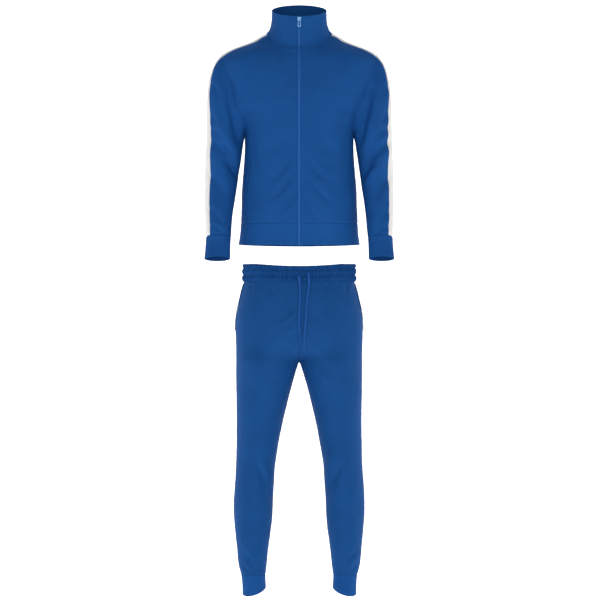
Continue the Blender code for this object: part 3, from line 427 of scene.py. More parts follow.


# %% [markdown]
# ## Creases
# Knit doesn't fold sharply. A crease is a soft trough with a fuller ridge beside it, it runs out at both
# ends, and no two are alike. Each row of the tables is one crease, placed from the photo on the
# front and like it on the back: its two ends as seen from the front, how much it bows, its width, its
# depth, and whether it lies on the front (-1) or the back (1).

# %% What one crease does
CREASE_GAIN = 1.6


def crease_shift(points, normals, row):
    """How far one crease moves each point along its normal, in metres."""
    x0, z0, x1, z1, bow, width, depth, face = row
    start, along = np.array([x0, z0]), np.array([x1 - x0, z1 - z0])
    length = np.linalg.norm(along)
    along = along / length
    across = np.array([-along[1], along[0]])
    offset = points[:, [0, 2]] / MM - start
    run = offset @ along / length
    inside = np.clip(run, 0, 1)
    side = offset @ across - bow * np.sin(np.pi * inside)
    past = np.maximum(np.abs(run - inside) * length - 0.2 * length, 0)
    fade = np.clip(np.sin(np.pi * np.clip((run + 0.15) / 1.3, 0, 1)), 0, 1) ** 1.3 * np.exp(-((past / width) ** 2))
    shape = np.exp(-((side / width) ** 2)) - 0.55 * np.exp(-(((side - 1.7 * width) / (1.2 * width)) ** 2))
    facing = np.clip(0.15 + 1.4 * face * normals[:, 1], 0, 1)
    return -CREASE_GAIN * depth * MM * shape * fade * facing


def press_creases(points, normals, table):
    shift = np.zeros(len(points))
    for row in table:
        near = np.abs(points[:, 2] / MM - (row[1] + row[3]) / 2) < abs(row[1] - row[3]) / 2 + 90
        shift[near] += crease_shift(points[near], normals[near], row)
    return shift


# %% What one swelling does
def swell_shift(points, table):
    """Soft rounded swellings: middle x, y, z, reach across, forward and up, height, all in mm."""
    shift = np.zeros(len(points))
    for row in table:
        middle, reach, height = np.array(row[:3]), np.array(row[3:6]), row[6]
        for side in (1, -1):
            away = (points / MM - middle * [side, 1, 1]) / reach
            shift += height * MM * np.exp(-((away**2).sum(1)))
    return shift


# %% The jacket's creases
JACKET_CREASES = [
    # x0, z0, x1, z1, bow, width, depth, face
    # the left of the picture: front, dragged from the zip down to the hem
    (-30, -395, -98, -470, 6, 11, 2.2, -1),
    (-22, -440, -86, -520, 5, 9, 2.6, -1),
    (-18, -505, -70, -580, 4, 8, 1.8, -1),
    (-26, -560, -60, -592, 2, 7, 1.2, -1),
    (-52, -330, -120, -372, 8, 14, 1.4, -1),
    (-150, -330, -128, -420, -6, 10, 1.7, -1),
    (-160, -450, -132, -560, -6, 10, 1.4, -1),
    # the right of the picture
    (28, -400, 90, -462, -6, 11, 2.2, -1),
    (30, -455, 104, -535, -5, 10, 2.8, -1),
    (18, -520, 62, -584, -4, 8, 1.7, -1),
    (60, -330, 128, -380, -8, 14, 1.3, -1),
    (150, -335, 130, -430, 6, 10, 1.8, -1),
    (158, -455, 135, -555, 6, 10, 1.2, -1),
    # under the collar
    (-44, -62, 30, -54, -3, 5, 1.4, -1),
    (-30, -78, 46, -70, 3, 5, 1.0, -1),
    # from the armpits over the chest
    (-196, -262, -120, -236, 6, 12, 1.6, -1),
    (196, -262, 118, -240, -6, 12, 1.6, -1),
    (-226, -120, -190, -205, -5, 11, 1.6, -1),
    (226, -122, 192, -208, 5, 11, 1.6, -1),
    # the sleeves, from the outer top to the inner bottom
    (-280, -148, -256, -196, 5, 9, 2.2, -1),
    (-280, -245, -262, -296, 4, 9, 2.0, -1),
    (-282, -292, -222, -372, 9, 11, 3.4, -1),
    (-276, -330, -196, -446, 13, 14, 6.8, -1),
    (-246, -392, -190, -452, 6, 9, 3.2, -1),
    (-222, -168, -188, -300, -7, 13, 6.4, -1),
    (-206, -255, -182, -352, -4, 12, 5.0, -1),
    (-292, -430, -236, -508, 6, 11, 2.0, -1),
    (-290, -540, -240, -596, 4, 9, 1.8, -1),
    (-284, -598, -232, -628, 3, 7, 1.5, -1),
    (281, -160, 258, -204, -5, 9, 2.0, -1),
    (282, -236, 260, -290, -4, 9, 2.2, -1),
    (284, -288, 226, -362, -9, 11, 3.2, -1),
    (278, -336, 198, -450, -12, 14, 6.6, -1),
    (250, -398, 192, -458, -6, 9, 3.0, -1),
    (222, -172, 189, -304, 7, 13, 6.4, -1),
    (207, -260, 183, -356, 4, 12, 5.0, -1),
    (292, -440, 240, -515, -6, 11, 2.2, -1),
    (290, -546, 244, -600, -4, 9, 1.6, -1),
    (286, -600, 236, -630, -3, 7, 1.6, -1),
    # the back
    (-150, -250, -60, -310, 8, 15, 2.2, 1),
    (152, -245, 66, -315, -8, 15, 2.0, 1),
    (-120, -420, 30, -452, 8, 13, 2.6, 1),
    (124, -455, -20, -490, -8, 13, 2.8, 1),
    (-140, -500, 10, -530, 6, 12, 2.2, 1),
    (140, -535, 20, -566, -6, 11, 2.0, 1),
    (-60, -70, 62, -72, -6, 9, 1.4, 1),
    (-282, -300, -205, -372, 6, 11, 3.0, 1),
    (282, -306, 205, -378, -6, 11, 3.0, 1),
    (-288, -380, -200, -430, 6, 11, 3.0, 1),
    (288, -386, 200, -440, -6, 11, 3.0, 1),
    (-290, -470, -220, -520, 5, 10, 2.0, 1),
    (290, -480, 222, -528, -5, 10, 2.2, 1),
    (-288, -570, -230, -612, 4, 8, 1.8, 1),
    (288, -576, 232, -616, -4, 8, 1.6, 1),
]

JACKET_SWELLS = [
    # the cap of the sleeve in front of the stripe
    (262, -36, -92, 26, 22, 34, 2.6),
    (284, -48, -165, 20, 22, 50, 2.6),
    # the roll at the foot of the collar
    (108, 0, -14, 22, 50, 9, 4.5),
]

# %% The joggers' creases
JOGGERS_CREASES = [
    # from the drawcord down over the hips
    (-12, -850, -66, -900, 4, 9, 1.6, -1),
    (-8, -882, -58, -930, 4, 9, 1.8, -1),
    (40, -868, 74, -905, -4, 9, 1.4, -1),
    (22, -925, 60, -955, -3, 9, 1.2, -1),
    # short ones below the waistband
    (-92, -782, -84, -822, 2, 6, 1.6, -1),
    (-150, -782, -152, -815, 2, 6, 1.4, -1),
    (-120, -782, -116, -806, 1, 5, 1.1, -1),
    (-58, -782, -62, -810, -1, 5, 1.0, -1),
    (92, -782, 86, -826, -2, 6, 1.6, -1),
    (152, -782, 150, -818, -2, 6, 1.4, -1),
    (120, -782, 124, -804, 1, 5, 1.0, -1),
    (56, -782, 52, -806, 1, 5, 1.1, -1),
    # the crotch
    (-10, -1000, -96, -1046, 6, 14, 1.6, -1),
    (14, -1002, 98, -1050, -6, 14, 1.6, -1),
    (-10, -985, -62, -1004, 3, 9, 1.3, -1),
    (14, -990, 66, -1010, -3, 9, 1.2, -1),
    (-24, -1052, -88, -1120, 5, 12, 1.7, -1),
    (26, -1056, 86, -1118, -5, 12, 1.7, -1),
    # the thighs
    (-186, -1080, -120, -1120, -6, 15, 1.2, -1),
    (186, -1090, 124, -1135, 6, 15, 1.1, -1),
    # inside the knees
    (-134, -1340, -112, -1425, 4, 9, 3.0, -1),
    (-116, -1362, -88, -1470, 4, 9, 2.4, -1),
    (-148, -1440, -142, -1490, 2, 8, 1.5, -1),
    (-96, -1300, -74, -1370, 3, 8, 1.5, -1),
    (136, -1338, 113, -1420, -4, 9, 3.0, -1),
    (118, -1356, 90, -1464, -4, 9, 2.4, -1),
    (150, -1436, 145, -1492, -2, 8, 1.5, -1),
    (98, -1296, 76, -1366, -3, 8, 1.4, -1),
    # above the ankles
    (-176, -1624, -136, -1690, 5, 8, 2.4, -1),
    (-132, -1645, -116, -1688, -3, 7, 1.8, -1),
    (-186, -1660, -158, -1692, 3, 7, 1.6, -1),
    (178, -1620, 138, -1690, -5, 8, 2.4, -1),
    (134, -1642, 118, -1690, 3, 7, 1.8, -1),
    (186, -1658, 160, -1694, -3, 7, 1.5, -1),
    # the seat and the back of the legs
    (-14, -1000, -110, -1046, 6, 13, 3.6, 1),
    (14, -1004, 112, -1050, -6, 13, 3.4, 1),
    (-10, -1030, -104, -1082, 6, 12, 2.6, 1),
    (12, -1034, 108, -1088, -6, 12, 2.8, 1),
    (-186, -1340, -96, -1376, 6, 12, 2.6, 1),
    (186, -1346, 98, -1384, -6, 12, 2.6, 1),
    (-184, -1392, -100, -1420, 5, 11, 3.0, 1),
    (186, -1396, 100, -1428, -5, 11, 3.0, 1),
    (-180, -1440, -108, -1466, 5, 11, 2.0, 1),
    (182, -1446, 106, -1470, -5, 11, 2.0, 1),
    (-184, -1630, -118, -1660, 4, 9, 2.4, 1),
    (184, -1634, 120, -1666, -4, 9, 2.4, 1),
    (-176, -1664, -120, -1688, 3, 7, 1.8, 1),
    (178, -1668, 120, -1690, -3, 7, 1.8, 1),
]
print(len(JACKET_CREASES), "creases on the jacket,", len(JOGGERS_CREASES), "on the joggers")

# %% [markdown]
# ## Seams
# At a seam two edges are turned in and stitched, so that the cloth dips into a narrow groove, swells a
# little on both sides of it and puckers along the thread. The dips are pressed into the shared skin
# before it is cut into its pieces.


# %% Pressing the creases and seams into a skin
def soft_noise(points, scale, seed):
    return np.array([noise.noise(Vector(p) / scale + Vector((seed, 0, 0))) for p in points])


NECK_HEIGHT, NECK_REACH = -0.085, 0.128


def dress(skin, creases, swells, seed):
    count = len(skin.vertices)
    points, normals = np.empty(count * 3), np.empty(count * 3)
    skin.vertices.foreach_get("co", points)
    skin.vertex_normals.foreach_get("vector", normals)
    points, normals = points.reshape(-1, 3), normals.reshape(-1, 3)
    pieces_at = [set() for _ in range(count)]
    for face in skin.polygons:
        for vertex in face.vertices:
            pieces_at[vertex].add(face.material_index)
    seam = np.array([len(found) > 1 for found in pieces_at])
    ends = np.empty(len(skin.edges) * 2, int)
    skin.edges.foreach_get("vertices", ends)
    ends = ends.reshape(-1, 2)
    rings = np.full(count, 9)
    rings[seam] = 0
    for ring in range(4):
        near = rings[ends].min(1) == ring
        touched = ends[near].ravel()
        rings[touched] = np.minimum(rings[touched], ring + 1)
    dip = np.choose(np.minimum(rings, 5), [-0.9, 0.05, 0.22, 0.12, 0.04, 0.0]) * MM
    at_neck = (points[:, 2] > NECK_HEIGHT) & (np.abs(points[:, 0]) < NECK_REACH)
    dip[at_neck] *= 0.55
    pucker = soft_noise(points, 0.011, seed) * np.choose(np.minimum(rings, 5), [0.2, 0.5, 0.5, 0.35, 0.2, 0]) * MM
    slack = soft_noise(points, 0.085, seed + 5) * 1.1 * MM + soft_noise(points, 0.034, seed + 9) * 0.35 * MM
    shift = press_creases(points, normals, creases) + swell_shift(points, swells) + dip + pucker + slack
    points += normals * shift[:, None]
    skin.vertices.foreach_set("co", points.ravel())
    skin.update()
    print("seam points:", int(seam.sum()), "deepest crease:", round(float(-shift.min() / MM), 1), "mm")


# %% The jacket's skin
JACKET = ["jacket_back", "jacket_collar", "jacket_hem_band"]
for side, _ in SIDES:
    for piece in ("front", "shoulder_stripe", "sleeve", "sleeve_stripe", "sleeve_cuff"):
        JACKET.append(f"jacket_{piece}_{side}")
jacket_skin = garment_skin(JACKET)
dress(jacket_skin, JACKET_CREASES, JACKET_SWELLS, seed=1.0)

# %% The joggers' skin
JOGGERS = [f"joggers_{piece}_{side}" for side, _ in SIDES for piece in ("front", "back", "ankle_cuff")]
joggers_skin = garment_skin(JOGGERS)
dress(joggers_skin, JOGGERS_CREASES, [], seed=7.0)

# %% [markdown]
# ## Laying out the UV map
# The wales of the knit run down the body, the sleeves and the legs. So each piece's map is unrolled round
# an upright axis: across is the way round, and up is the height, both in metres. The axis of a sleeve
# leans forward, and that of a leg outward, as two short tables say.

# %% The axes
SLEEVE_AXIS = [(-0.706, 0.257, -0.076), (-0.608, 0.253, -0.047), (-0.494, 0.247, -0.018), (-0.345, 0.234, -0.010)]
LEG_AXIS = [(-1.750, 0.143, 0.006), (-1.465, 0.145, 0.006), (-1.263, 0.129, 0.0), (-1.028, 0.100, 0.005)]


def axis_at(kind, sign, height):
    """The x, y and rolling radius of the axis that a piece is unrolled round."""
    if kind == "torso":
        return 0.0, 0.003, 0.15
    table = SLEEVE_AXIS if kind == "sleeve" else LEG_AXIS
    heights, across, forward = zip(*table)
    return sign * np.interp(height, heights, across), np.interp(height, heights, forward), 0.06


def unroll(mesh, kind, sign):
    layer = mesh.loops.layers.uv.verify()
    for face in mesh.faces:
        middle = face.calc_center_median()
        x, y, _ = axis_at(kind, sign, middle.z)
        towards = math.atan2(middle.x - x, y - middle.y)
        for loop in face.loops:
            x, y, radius = axis_at(kind, sign, loop.vert.co.z)
            angle = math.atan2(loop.vert.co.x - x, y - loop.vert.co.y)
            angle += math.tau * round((towards - angle) / math.tau)
            loop[layer].uv = (angle * radius, loop.vert.co.z)


# %% [markdown]
# ## Cutting the skin back into pieces
# Each sewn piece becomes an object of its own again. Solidify gives the wall behind its outer face, and a
# small bevel rounds the edges: along a seam the two rounded edges make the groove, and at a cuff, hem or
# collar the edge looks turned. Its area is printed beside the area it was cut to.


# %% Cutting one piece out of a skin
def cut_piece(skin, names, name, kind, sign, wall, material, slot_name, flat, area, edge=0.0005):
    mesh = bmesh.new()
    mesh.from_mesh(skin)
    number = names.index(name)
    bmesh.ops.delete(mesh, geom=[f for f in mesh.faces if f.material_index != number], context="FACES")
    for face in mesh.faces:
        face.material_index = 0
    measured = sum(f.calc_area() for f in mesh.faces)
    unroll(mesh, kind, sign)
    obj = new_object(name + "_cloth", mesh)
    thick = obj.modifiers.new("wall", "SOLIDIFY")
    thick.thickness = wall
    thick.offset = -1
    rounded = obj.modifiers.new("turned edge", "BEVEL")
    rounded.width = edge
    rounded.segments = 2
    rounded.limit_method = "ANGLE"
    rounded.angle_limit = math.radians(55)
    finish_piece(obj, material, SUIT)
    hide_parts(name)
    print(f"{name}: {measured:.4f} m2 of cloth, cut {area:.4f} m2")
    return obj


# %% Cutting the jacket
def cut_jacket(name, *rest, **more):
    return cut_piece(jacket_skin, JACKET, name, *rest, **more)


cut_jacket("jacket_back", "torso", 1, 0.0015, body_knit, "knit", (0.56, 0.66), 0.28)
cut_jacket("jacket_collar", "torso", 1, 0.0026, body_knit, "knit", (0.54, 0.09), 0.0445, edge=0.0009)
cut_jacket("jacket_hem_band", "torso", 1, 0.0022, cuff_rib, "rib_knit", (1.02, 0.07), 0.07, edge=0.0009)
for side, sign in SIDES:
    cut_jacket(f"jacket_front_{side}", "torso", sign, 0.0015, body_knit, "knit", (0.28, 0.62), 0.14)
    cut_jacket(
        f"jacket_shoulder_stripe_{side}", "torso", sign, 0.0015, stripe_knit, "stripe", (0.046, 0.19), 0.0086
    )
    cut_jacket(f"jacket_sleeve_{side}", "sleeve", sign, 0.0015, body_knit, "knit", (0.36, 0.60), 0.145)
    cut_jacket(f"jacket_sleeve_stripe_{side}", "sleeve", sign, 0.0015, stripe_knit, "stripe", (0.05, 0.60), 0.029)
    cut_jacket(
        f"jacket_sleeve_cuff_{side}", "sleeve", sign, 0.0022, cuff_rib, "rib_knit", (0.235, 0.068), 0.0155, edge=0.0009
    )

# %% Cutting the joggers
for side, sign in SIDES:
    for face in ("front", "back"):
        cut_piece(
            joggers_skin, JOGGERS, f"joggers_{face}_{side}", "leg", sign, 0.0015, joggers_knit, "knit", (0.33, 0.96), 0.232
        )
    cut_piece(
        joggers_skin,
        JOGGERS,
        f"joggers_ankle_cuff_{side}",
        "leg",
        sign,
        0.0022,
        cuff_rib,
        "rib_knit",
        (0.25, 0.06),
        0.014,
        edge=0.0009,
    )

# %% [markdown]
# ## Seam allowances
# Behind every seam the two cut edges lie on the inside as a narrow doubled strip. It closes the groove
# from behind, and shows where one looks into the neck, the hem or a cuff. It is the faces along each seam,
# moved to the inside of the wall and given a thickness.


# %% The strips behind the seams
def seam_allowance(name, skin, material, inside=0.0017, thickness=0.0007):
    mesh = bmesh.new()
    mesh.from_mesh(skin)
    mesh.normal_update()
    crossing = [e for e in mesh.edges if len({f.material_index for f in e.link_faces}) > 1]
    sewn = {v for e in crossing for v in e.verts}
    for vertex in mesh.verts:
        vertex.co -= vertex.normal * inside
    apart = [f for f in mesh.faces if not any(v in sewn for v in f.verts)]
    bmesh.ops.delete(mesh, geom=apart, context="FACES")
    for face in mesh.faces:
        face.material_index = 0
    unroll(mesh, "torso", 1)
    strip = new_object(name, mesh)
    wall = strip.modifiers.new("wall", "SOLIDIFY")
    wall.thickness = thickness
    wall.offset = -1
    finish_piece(strip, material, SUIT)
    print(name, len(strip.data.polygons), "faces")


seam_allowance("jacket_seam_allowance", jacket_skin, body_knit)
seam_allowance("joggers_seam_allowance", joggers_skin, joggers_knit)

# %% [markdown]
# ## The waistband
# A wide elastic is sewn inside the band while it is stretched, with two rows of stitching through it. When
# it springs back the cloth gathers into close upright folds, which puff out between the rows of thread.
# A ring of edges is extruded upwards and each loop of it is pushed in and out. The folds are uneven: each
# one has its own width and height, and wanders a little on its way up.

# %% The waistband's shape
WAIST_SEAM, WAIST_TOP, WAIST_DIP = -0.7772, -0.7215, 0.0065
GATHERS, PER_GATHER = 92, 7
BAND_ROWS = 18
PUFFS = [(0.0, 0.9), (0.09, 2.6), (0.20, 3.7), (0.31, 2.7), (0.385, 0.7), (0.46, 2.4), (0.585, 3.8), (0.71, 2.6)]
PUFFS += [(0.79, 0.7), (0.84, 2.3), (0.91, 3.3), (0.97, 2.3), (1.0, 0.9)]


def waist_outline(turn):
    """A point of the band's base and the way out of it, by the turn from the front over +X."""
    angle = math.tau * turn
    half_width, side, power = 0.174, 0.003, 2 / 2.4
    depth = 0.113 if math.cos(angle) > 0 else 0.105
    across, forward = math.sin(angle), math.cos(angle)
    x = half_width * math.copysign(abs(across) ** power, across)
    y = side - depth * math.copysign(abs(forward) ** power, forward)
    out = Vector((x / half_width**2, (y - side) / depth**2, 0)).normalized()
    return Vector((x, y, 0)), out


def even_turns(count):
    """Turns that are an equal way apart along the outline."""
    fine = [waist_outline(i / 4000)[0] for i in range(4001)]
    travelled = np.concatenate([[0], np.cumsum([(b - a).length for a, b in zip(fine, fine[1:])])])
    return np.interp(np.arange(count) / count * travelled[-1], travelled, np.arange(4001) / 4000)


def uneven(number, seed=0.0):
    """A steady pick from -1 to 1 for each whole number."""
    return math.sin(number * 12.9898 + seed * 78.233 + math.sin(number * 4.1 + seed) * 3.0)


def waistband():
    columns = GATHERS * PER_GATHER
    turns = even_turns(columns)
    mesh = bmesh.new()
    bmesh.ops.create_circle(mesh, segments=columns, radius=0.15)
    mesh.verts.ensure_lookup_table()
    rings = [list(mesh.verts)]
    edges = list(mesh.edges)
    for _ in range(BAND_ROWS):
        made = bmesh.ops.extrude_edge_only(mesh, edges=edges)["geom"]
        edges = [e for e in made if isinstance(e, bmesh.types.BMEdge)]
        below = {v: i for i, v in enumerate(rings[-1])}
        ring = [None] * columns
        fresh = {v for v in made if isinstance(v, bmesh.types.BMVert)}
        for vertex in fresh:
            old = next(e.other_vert(vertex) for e in vertex.link_edges if e.other_vert(vertex) not in fresh)
            ring[below[old]] = vertex
        rings.append(ring)
    shares, proud = zip(*PUFFS)
    for row, ring in enumerate(rings):
        share = row / BAND_ROWS
        stand = np.interp(share, shares, proud)
        depth = 1.0 + 0.72 * stand
        for column, vertex in enumerate(ring):
            base, out = waist_outline(turns[column])
            wander = 0.22 * math.sin(share * 9 + uneven(column // PER_GATHER, 3.0) * 3)
            place = column / PER_GATHER + wander * (0.3 + 0.7 * abs(uneven(column // (PER_GATHER * 3), 8.0)))
            gather = 2 * abs(math.sin(math.pi * place + 0.3 * math.sin(place * 0.9))) ** 1.6 - 1
            size = 1 + 0.25 * uneven(int(place), 1.0) + 0.2 * math.sin(place * 0.37 + share * 4)
            push = stand + depth * size * gather * 0.9
            top = WAIST_TOP - WAIST_DIP * max(0.0, 1 - (base.x / 0.130) ** 2)
            rippled = 0.0004 * gather if row in (0, BAND_ROWS) else 0
            height = WAIST_SEAM + (top - WAIST_SEAM) * share + rippled
            vertex.co = base + out * push * MM + Vector((0, 0, height))
    bmesh.ops.recalc_face_normals(mesh, faces=mesh.faces)
    layer = mesh.loops.layers.uv.verify()
    index = {v: i for ring in rings for i, v in enumerate(ring)}
    for face in mesh.faces:
        places = [index[loop.vert] for loop in face.loops]
        wraps = max(places) - min(places) > columns / 2
        for loop, place in zip(face.loops, places):
            turned_on = columns if wraps and place < columns / 2 else 0
            loop[layer].uv = ((place + turned_on) * 0.0013, loop.vert.co.z)
    return mesh


band = new_object("joggers_waistband_cloth", waistband())
band_wall = band.modifiers.new("wall", "SOLIDIFY")
band_wall.thickness = 0.0018
band_wall.offset = -1
finish_piece(band, gathered_knit, SUIT)
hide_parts("joggers_waistband")
print("waistband faces:", len(band.data.polygons))

# %% [markdown]
# ## Stitching
# The rows of thread are real rows of small stitches, each a short rounded peg that lies on the cloth and
# dives in at its ends. A row is given by where a needle would come from: a list of points and directions,
# which are shone on to the garment to find the cloth. One peg is copied along the row.

# %% Finding the cloth and sewing along it
def cloth_tree(skin, names, *left_out):
    """A search tree of a skin without the pieces whose names hold one of the words."""
    kept = [n for n, name in enumerate(names) if not any(word in name for word in left_out)]
    faces = [face.vertices for face in skin.polygons if face.material_index in kept]
    return BVHTree.FromPolygons([v.co for v in skin.vertices], faces)


torso_tree = cloth_tree(jacket_skin, JACKET, "sleeve")
jacket_tree = cloth_tree(jacket_skin, JACKET)
joggers_tree = cloth_tree(joggers_skin, JOGGERS)
STITCH, STITCH_STEP = 0.0031, 0.0042


def shone(tree, shots):
    """Where each shot, a point and a direction, meets the cloth, with the cloth's normal."""
    found = []
    for origin, direction in shots:
        place, normal, _, _ = tree.ray_cast(Vector(origin), Vector(direction))
        if place is not None:
            found.append((place, normal if normal.dot(Vector(direction)) < 0 else -normal))
    return found


def from_front(x, low, high, count=200, face=-1):
    return [((x, face * 0.6, z), (0, -face, 0)) for z in np.linspace(low, high, count)]


def from_round(axis_x, axis_y, height, start=0.0, end=1.0, count=360):
    """Shots at an upright axis from all round it, at a height that may change with the turn."""
    shots = []
    for turn in np.linspace(start, end, count):
        angle = math.tau * turn
        direction = Vector((-math.sin(angle), math.cos(angle), 0))
        z = height(turn) if callable(height) else height
        shots.append((Vector((axis_x, axis_y, z)) - direction * 0.5, direction))
    return shots


def sew(name, rows, material=thread):
    mesh = bmesh.new()
    count = 0
    for places in rows:
        if len(places) < 2:
            continue
        gaps = [(b[0] - a[0]).length for a, b in zip(places, places[1:])]
        travelled = np.concatenate([[0], np.cumsum(gaps)])
        spots = np.array([p[0] for p in places])
        leans = np.array([p[1] for p in places])
        for start in np.arange(STITCH_STEP / 2, travelled[-1] - STITCH, STITCH_STEP):
            reach = (start, start + STITCH)
            ends = [Vector([np.interp(s, travelled, spots[:, k]) for k in range(3)]) for s in reach]
            out = Vector([np.interp(start, travelled, leans[:, k]) for k in range(3)]).normalized()
            along = (ends[1] - ends[0]).normalized()
            side = out.cross(along).normalized()
            out = along.cross(side)
            turn = Matrix((side, out, along)).transposed().to_4x4()
            middle = (ends[0] + ends[1]) / 2 + out * 0.00016
            made = bmesh.ops.create_icosphere(mesh, subdivisions=1, radius=1.0)["verts"]
            bmesh.ops.scale(mesh, verts=made, vec=(0.00034, 0.00030, STITCH / 2))
            bmesh.ops.transform(mesh, verts=made, matrix=Matrix.Translation(middle) @ turn)
            count += 1
    obj = new_object(name, mesh)
    finish_piece(obj, material, SUIT)
    print(name, count, "stitches")
    return obj


# %% Following a seam
def seam_lines(skin, names, tree, sewn, beside, offset):
    """The lines that run on one piece at an offset from its seam with another, with the cloth's normals."""
    first, second = names.index(sewn), names.index(beside)
    mesh = bmesh.new()
    mesh.from_mesh(skin)
    follow = {}
    for edge in mesh.edges:
        if {face.material_index for face in edge.link_faces} == {first, second}:
            for vertex in edge.verts:
                follow.setdefault(vertex, []).append(edge.other_vert(vertex))
    chains, left = [], set(follow)
    while left:
        start = next((v for v in left if len(follow[v]) == 1), next(iter(left)))
        chain = [start]
        left.discard(start)
        while True:
            onward = [v for v in follow[chain[-1]] if v in left]
            if not onward:
                break
            chain.append(onward[0])
            left.discard(onward[0])
        chains.append(chain)
    lines = []
    for chain in chains:
        line = []
        for number, vertex in enumerate(chain):
            near = chain[min(number + 1, len(chain) - 1)].co - chain[max(number - 1, 0)].co
            side = vertex.normal.cross(near).normalized()
            middles = [f.calc_center_median() for f in vertex.link_faces if f.material_index == first]
            towards = sum(middles, Vector()) / max(1, len(middles)) - vertex.co
            if side.dot(towards) < 0:
                side = -side
            place, normal, _, _ = tree.find_nearest(vertex.co + side * offset)
            line.append((place, normal if normal.dot(vertex.normal) > 0 else -normal))
        lines.append(line)
    mesh.free()
    return lines


# %% Sewing the jacket
HEM_SEAM = -0.594


def collar_top(turn):
    return 0.076 - 0.022 * math.cos(math.tau * turn)


rows = [shone(torso_tree, from_front(sign * 0.0115, -0.662, 0.040)) for _, sign in SIDES]
rows.append(shone(torso_tree, from_round(0, 0, lambda t: HEM_SEAM + 0.005, 0.006, 0.994, 500)))
rows.append(shone(torso_tree, from_round(0, -0.018, lambda t: collar_top(t) - 0.013, 0.022, 0.978)))
rows.append(shone(torso_tree, from_round(0, -0.018, lambda t: collar_top(t) - 0.0035, 0.022, 0.978)))
for side, _ in SIDES:
    for sewn, beside in (
        (f"jacket_front_{side}", f"jacket_sleeve_{side}"),
        ("jacket_back", f"jacket_sleeve_{side}"),
        (f"jacket_sleeve_{side}", f"jacket_sleeve_cuff_{side}"),
    ):
        rows += seam_lines(jacket_skin, JACKET, jacket_tree, sewn, beside, 0.003)
sew("jacket_topstitching", rows)

# %% Sewing the stripes
rows = []
for side, _ in SIDES:
    for sewn, beside in (
        (f"jacket_sleeve_stripe_{side}", f"jacket_sleeve_{side}"),
        (f"jacket_shoulder_stripe_{side}", f"jacket_front_{side}"),
        (f"jacket_shoulder_stripe_{side}", "jacket_back"),
    ):
        rows += seam_lines(jacket_skin, JACKET, jacket_tree, sewn, beside, 0.002)
sew("jacket_stripe_stitching", rows, white_thread)

# %% Sewing the joggers
rows = []
for fall in (0.011, 0.033):
    row = []
    for turn in even_turns(560):
        base, out = waist_outline(turn)
        top = WAIST_TOP - WAIST_DIP * max(0.0, 1 - (base.x / 0.130) ** 2)
        row.append((base + out * 0.0014 + Vector((0, 0, top - fall)), out))
    rows.append(row)
sew("joggers_waistband_stitching", rows)
rows = []
for side, _ in SIDES:
    for face in ("front", "back"):
        cuff_name = f"joggers_ankle_cuff_{side}"
        rows += seam_lines(joggers_skin, JOGGERS, joggers_tree, f"joggers_{face}_{side}", cuff_name, 0.003)
rows += seam_lines(joggers_skin, JOGGERS, joggers_tree, "joggers_back_left", "joggers_back_right", 0.003)
rows += seam_lines(joggers_skin, JOGGERS, joggers_tree, "joggers_front_left", "joggers_front_right", 0.003)
sew("joggers_topstitching", rows)

# %% [markdown]
# ## The zip
# A nylon coil zip: each side's teeth are the turns of a coil, so that the closed chain is a row of fine
# pegs that reach across from both sides in turn. One peg is copied up the chain's middle line, which
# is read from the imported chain. The tapes behind it keep their packed form.

# %% The chain's teeth
chain = nodes["jacket_zip_chain"].data
front_line = {}
for vertex in chain.vertices:
    if vertex.co.x > 0:
        key = round(vertex.co.z, 3)
        front_line[key] = min(front_line.get(key, 1.0), vertex.co.y)
heights = sorted(front_line)
depths = [front_line[z] for z in heights]
TOOTH_PITCH = 0.00105


def teeth():
    mesh = bmesh.new()
    travelled = np.arange(heights[0] + 0.006, heights[-1], TOOTH_PITCH)
    for number, z in enumerate(travelled):
        side = 1 if number % 2 else -1
        y = np.interp(z, heights, depths)
        made = bmesh.ops.create_icosphere(mesh, subdivisions=1, radius=1.0)["verts"]
        bmesh.ops.scale(mesh, verts=made, vec=(0.00175, 0.00085, 0.00062))
        bmesh.ops.rotate(mesh, verts=made, cent=(0, 0, 0), matrix=Matrix.Rotation(0.18 * side, 3, "Y"))
        bmesh.ops.translate(mesh, verts=made, vec=(side * 0.00105, y + 0.0009, z))
    return mesh


chain_teeth = new_object("jacket_zip_teeth", teeth())
finish_piece(chain_teeth, zip_teeth, SUIT)
for name in ("jacket_zip_tape_left", "jacket_zip_tape_right"):
    nodes[name].data.materials.clear()
    nodes[name].data.materials.append(tape_weave)
nodes["jacket_zip_chain"].data.materials.clear()
nodes["jacket_zip_chain"].data.materials.append(tape_weave)
print("teeth:", len(chain_teeth.data.polygons) // 20)


# %% [markdown]
# ## The slider and its pull tab
# Die-cast zinc has no sharp edge anywhere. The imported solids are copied, their loose triangles merged and
# their flat faces made whole again, and every edge is rounded.

# %% Rounded castings
def casting(node, body, radius):
    mesh = bmesh.new()
    mesh.from_mesh(nodes[node].data)
    bmesh.ops.remove_doubles(mesh, verts=mesh.verts, dist=1e-5)
    bmesh.ops.dissolve_limit(mesh, angle_limit=math.radians(3), verts=mesh.verts, edges=mesh.edges)
    sharp = [e for e in mesh.edges if e.is_manifold and e.calc_face_angle(0) > math.radians(25)]
    bmesh.ops.bevel(
        mesh,
        geom=sharp,
        offset=radius,
        segments=3,
        profile=0.5,
        affect="EDGES",
        material=-1,
        clamp_overlap=True,
    )
    obj = new_object(node + "_cast", mesh)
    finish_piece(obj, dyed_zinc_painted_reflection, body)
    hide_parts(node)
    print(node, len(obj.data.polygons), "faces")
    return obj


# the slider, bail and tab get the dyed blue lightened into a painted reflection
casting("jacket_zip_slider", SUIT, 0.0006)
casting("jacket_zip_bail", SUIT, 0.0003)
casting("jacket_zip_pull_tab", TAB, 0.00045)

# %% [markdown]
# ## The pockets
# Each pocket is a slit whose edge is a narrow folded welt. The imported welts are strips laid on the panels,
# and they only need the knit and softer edges.

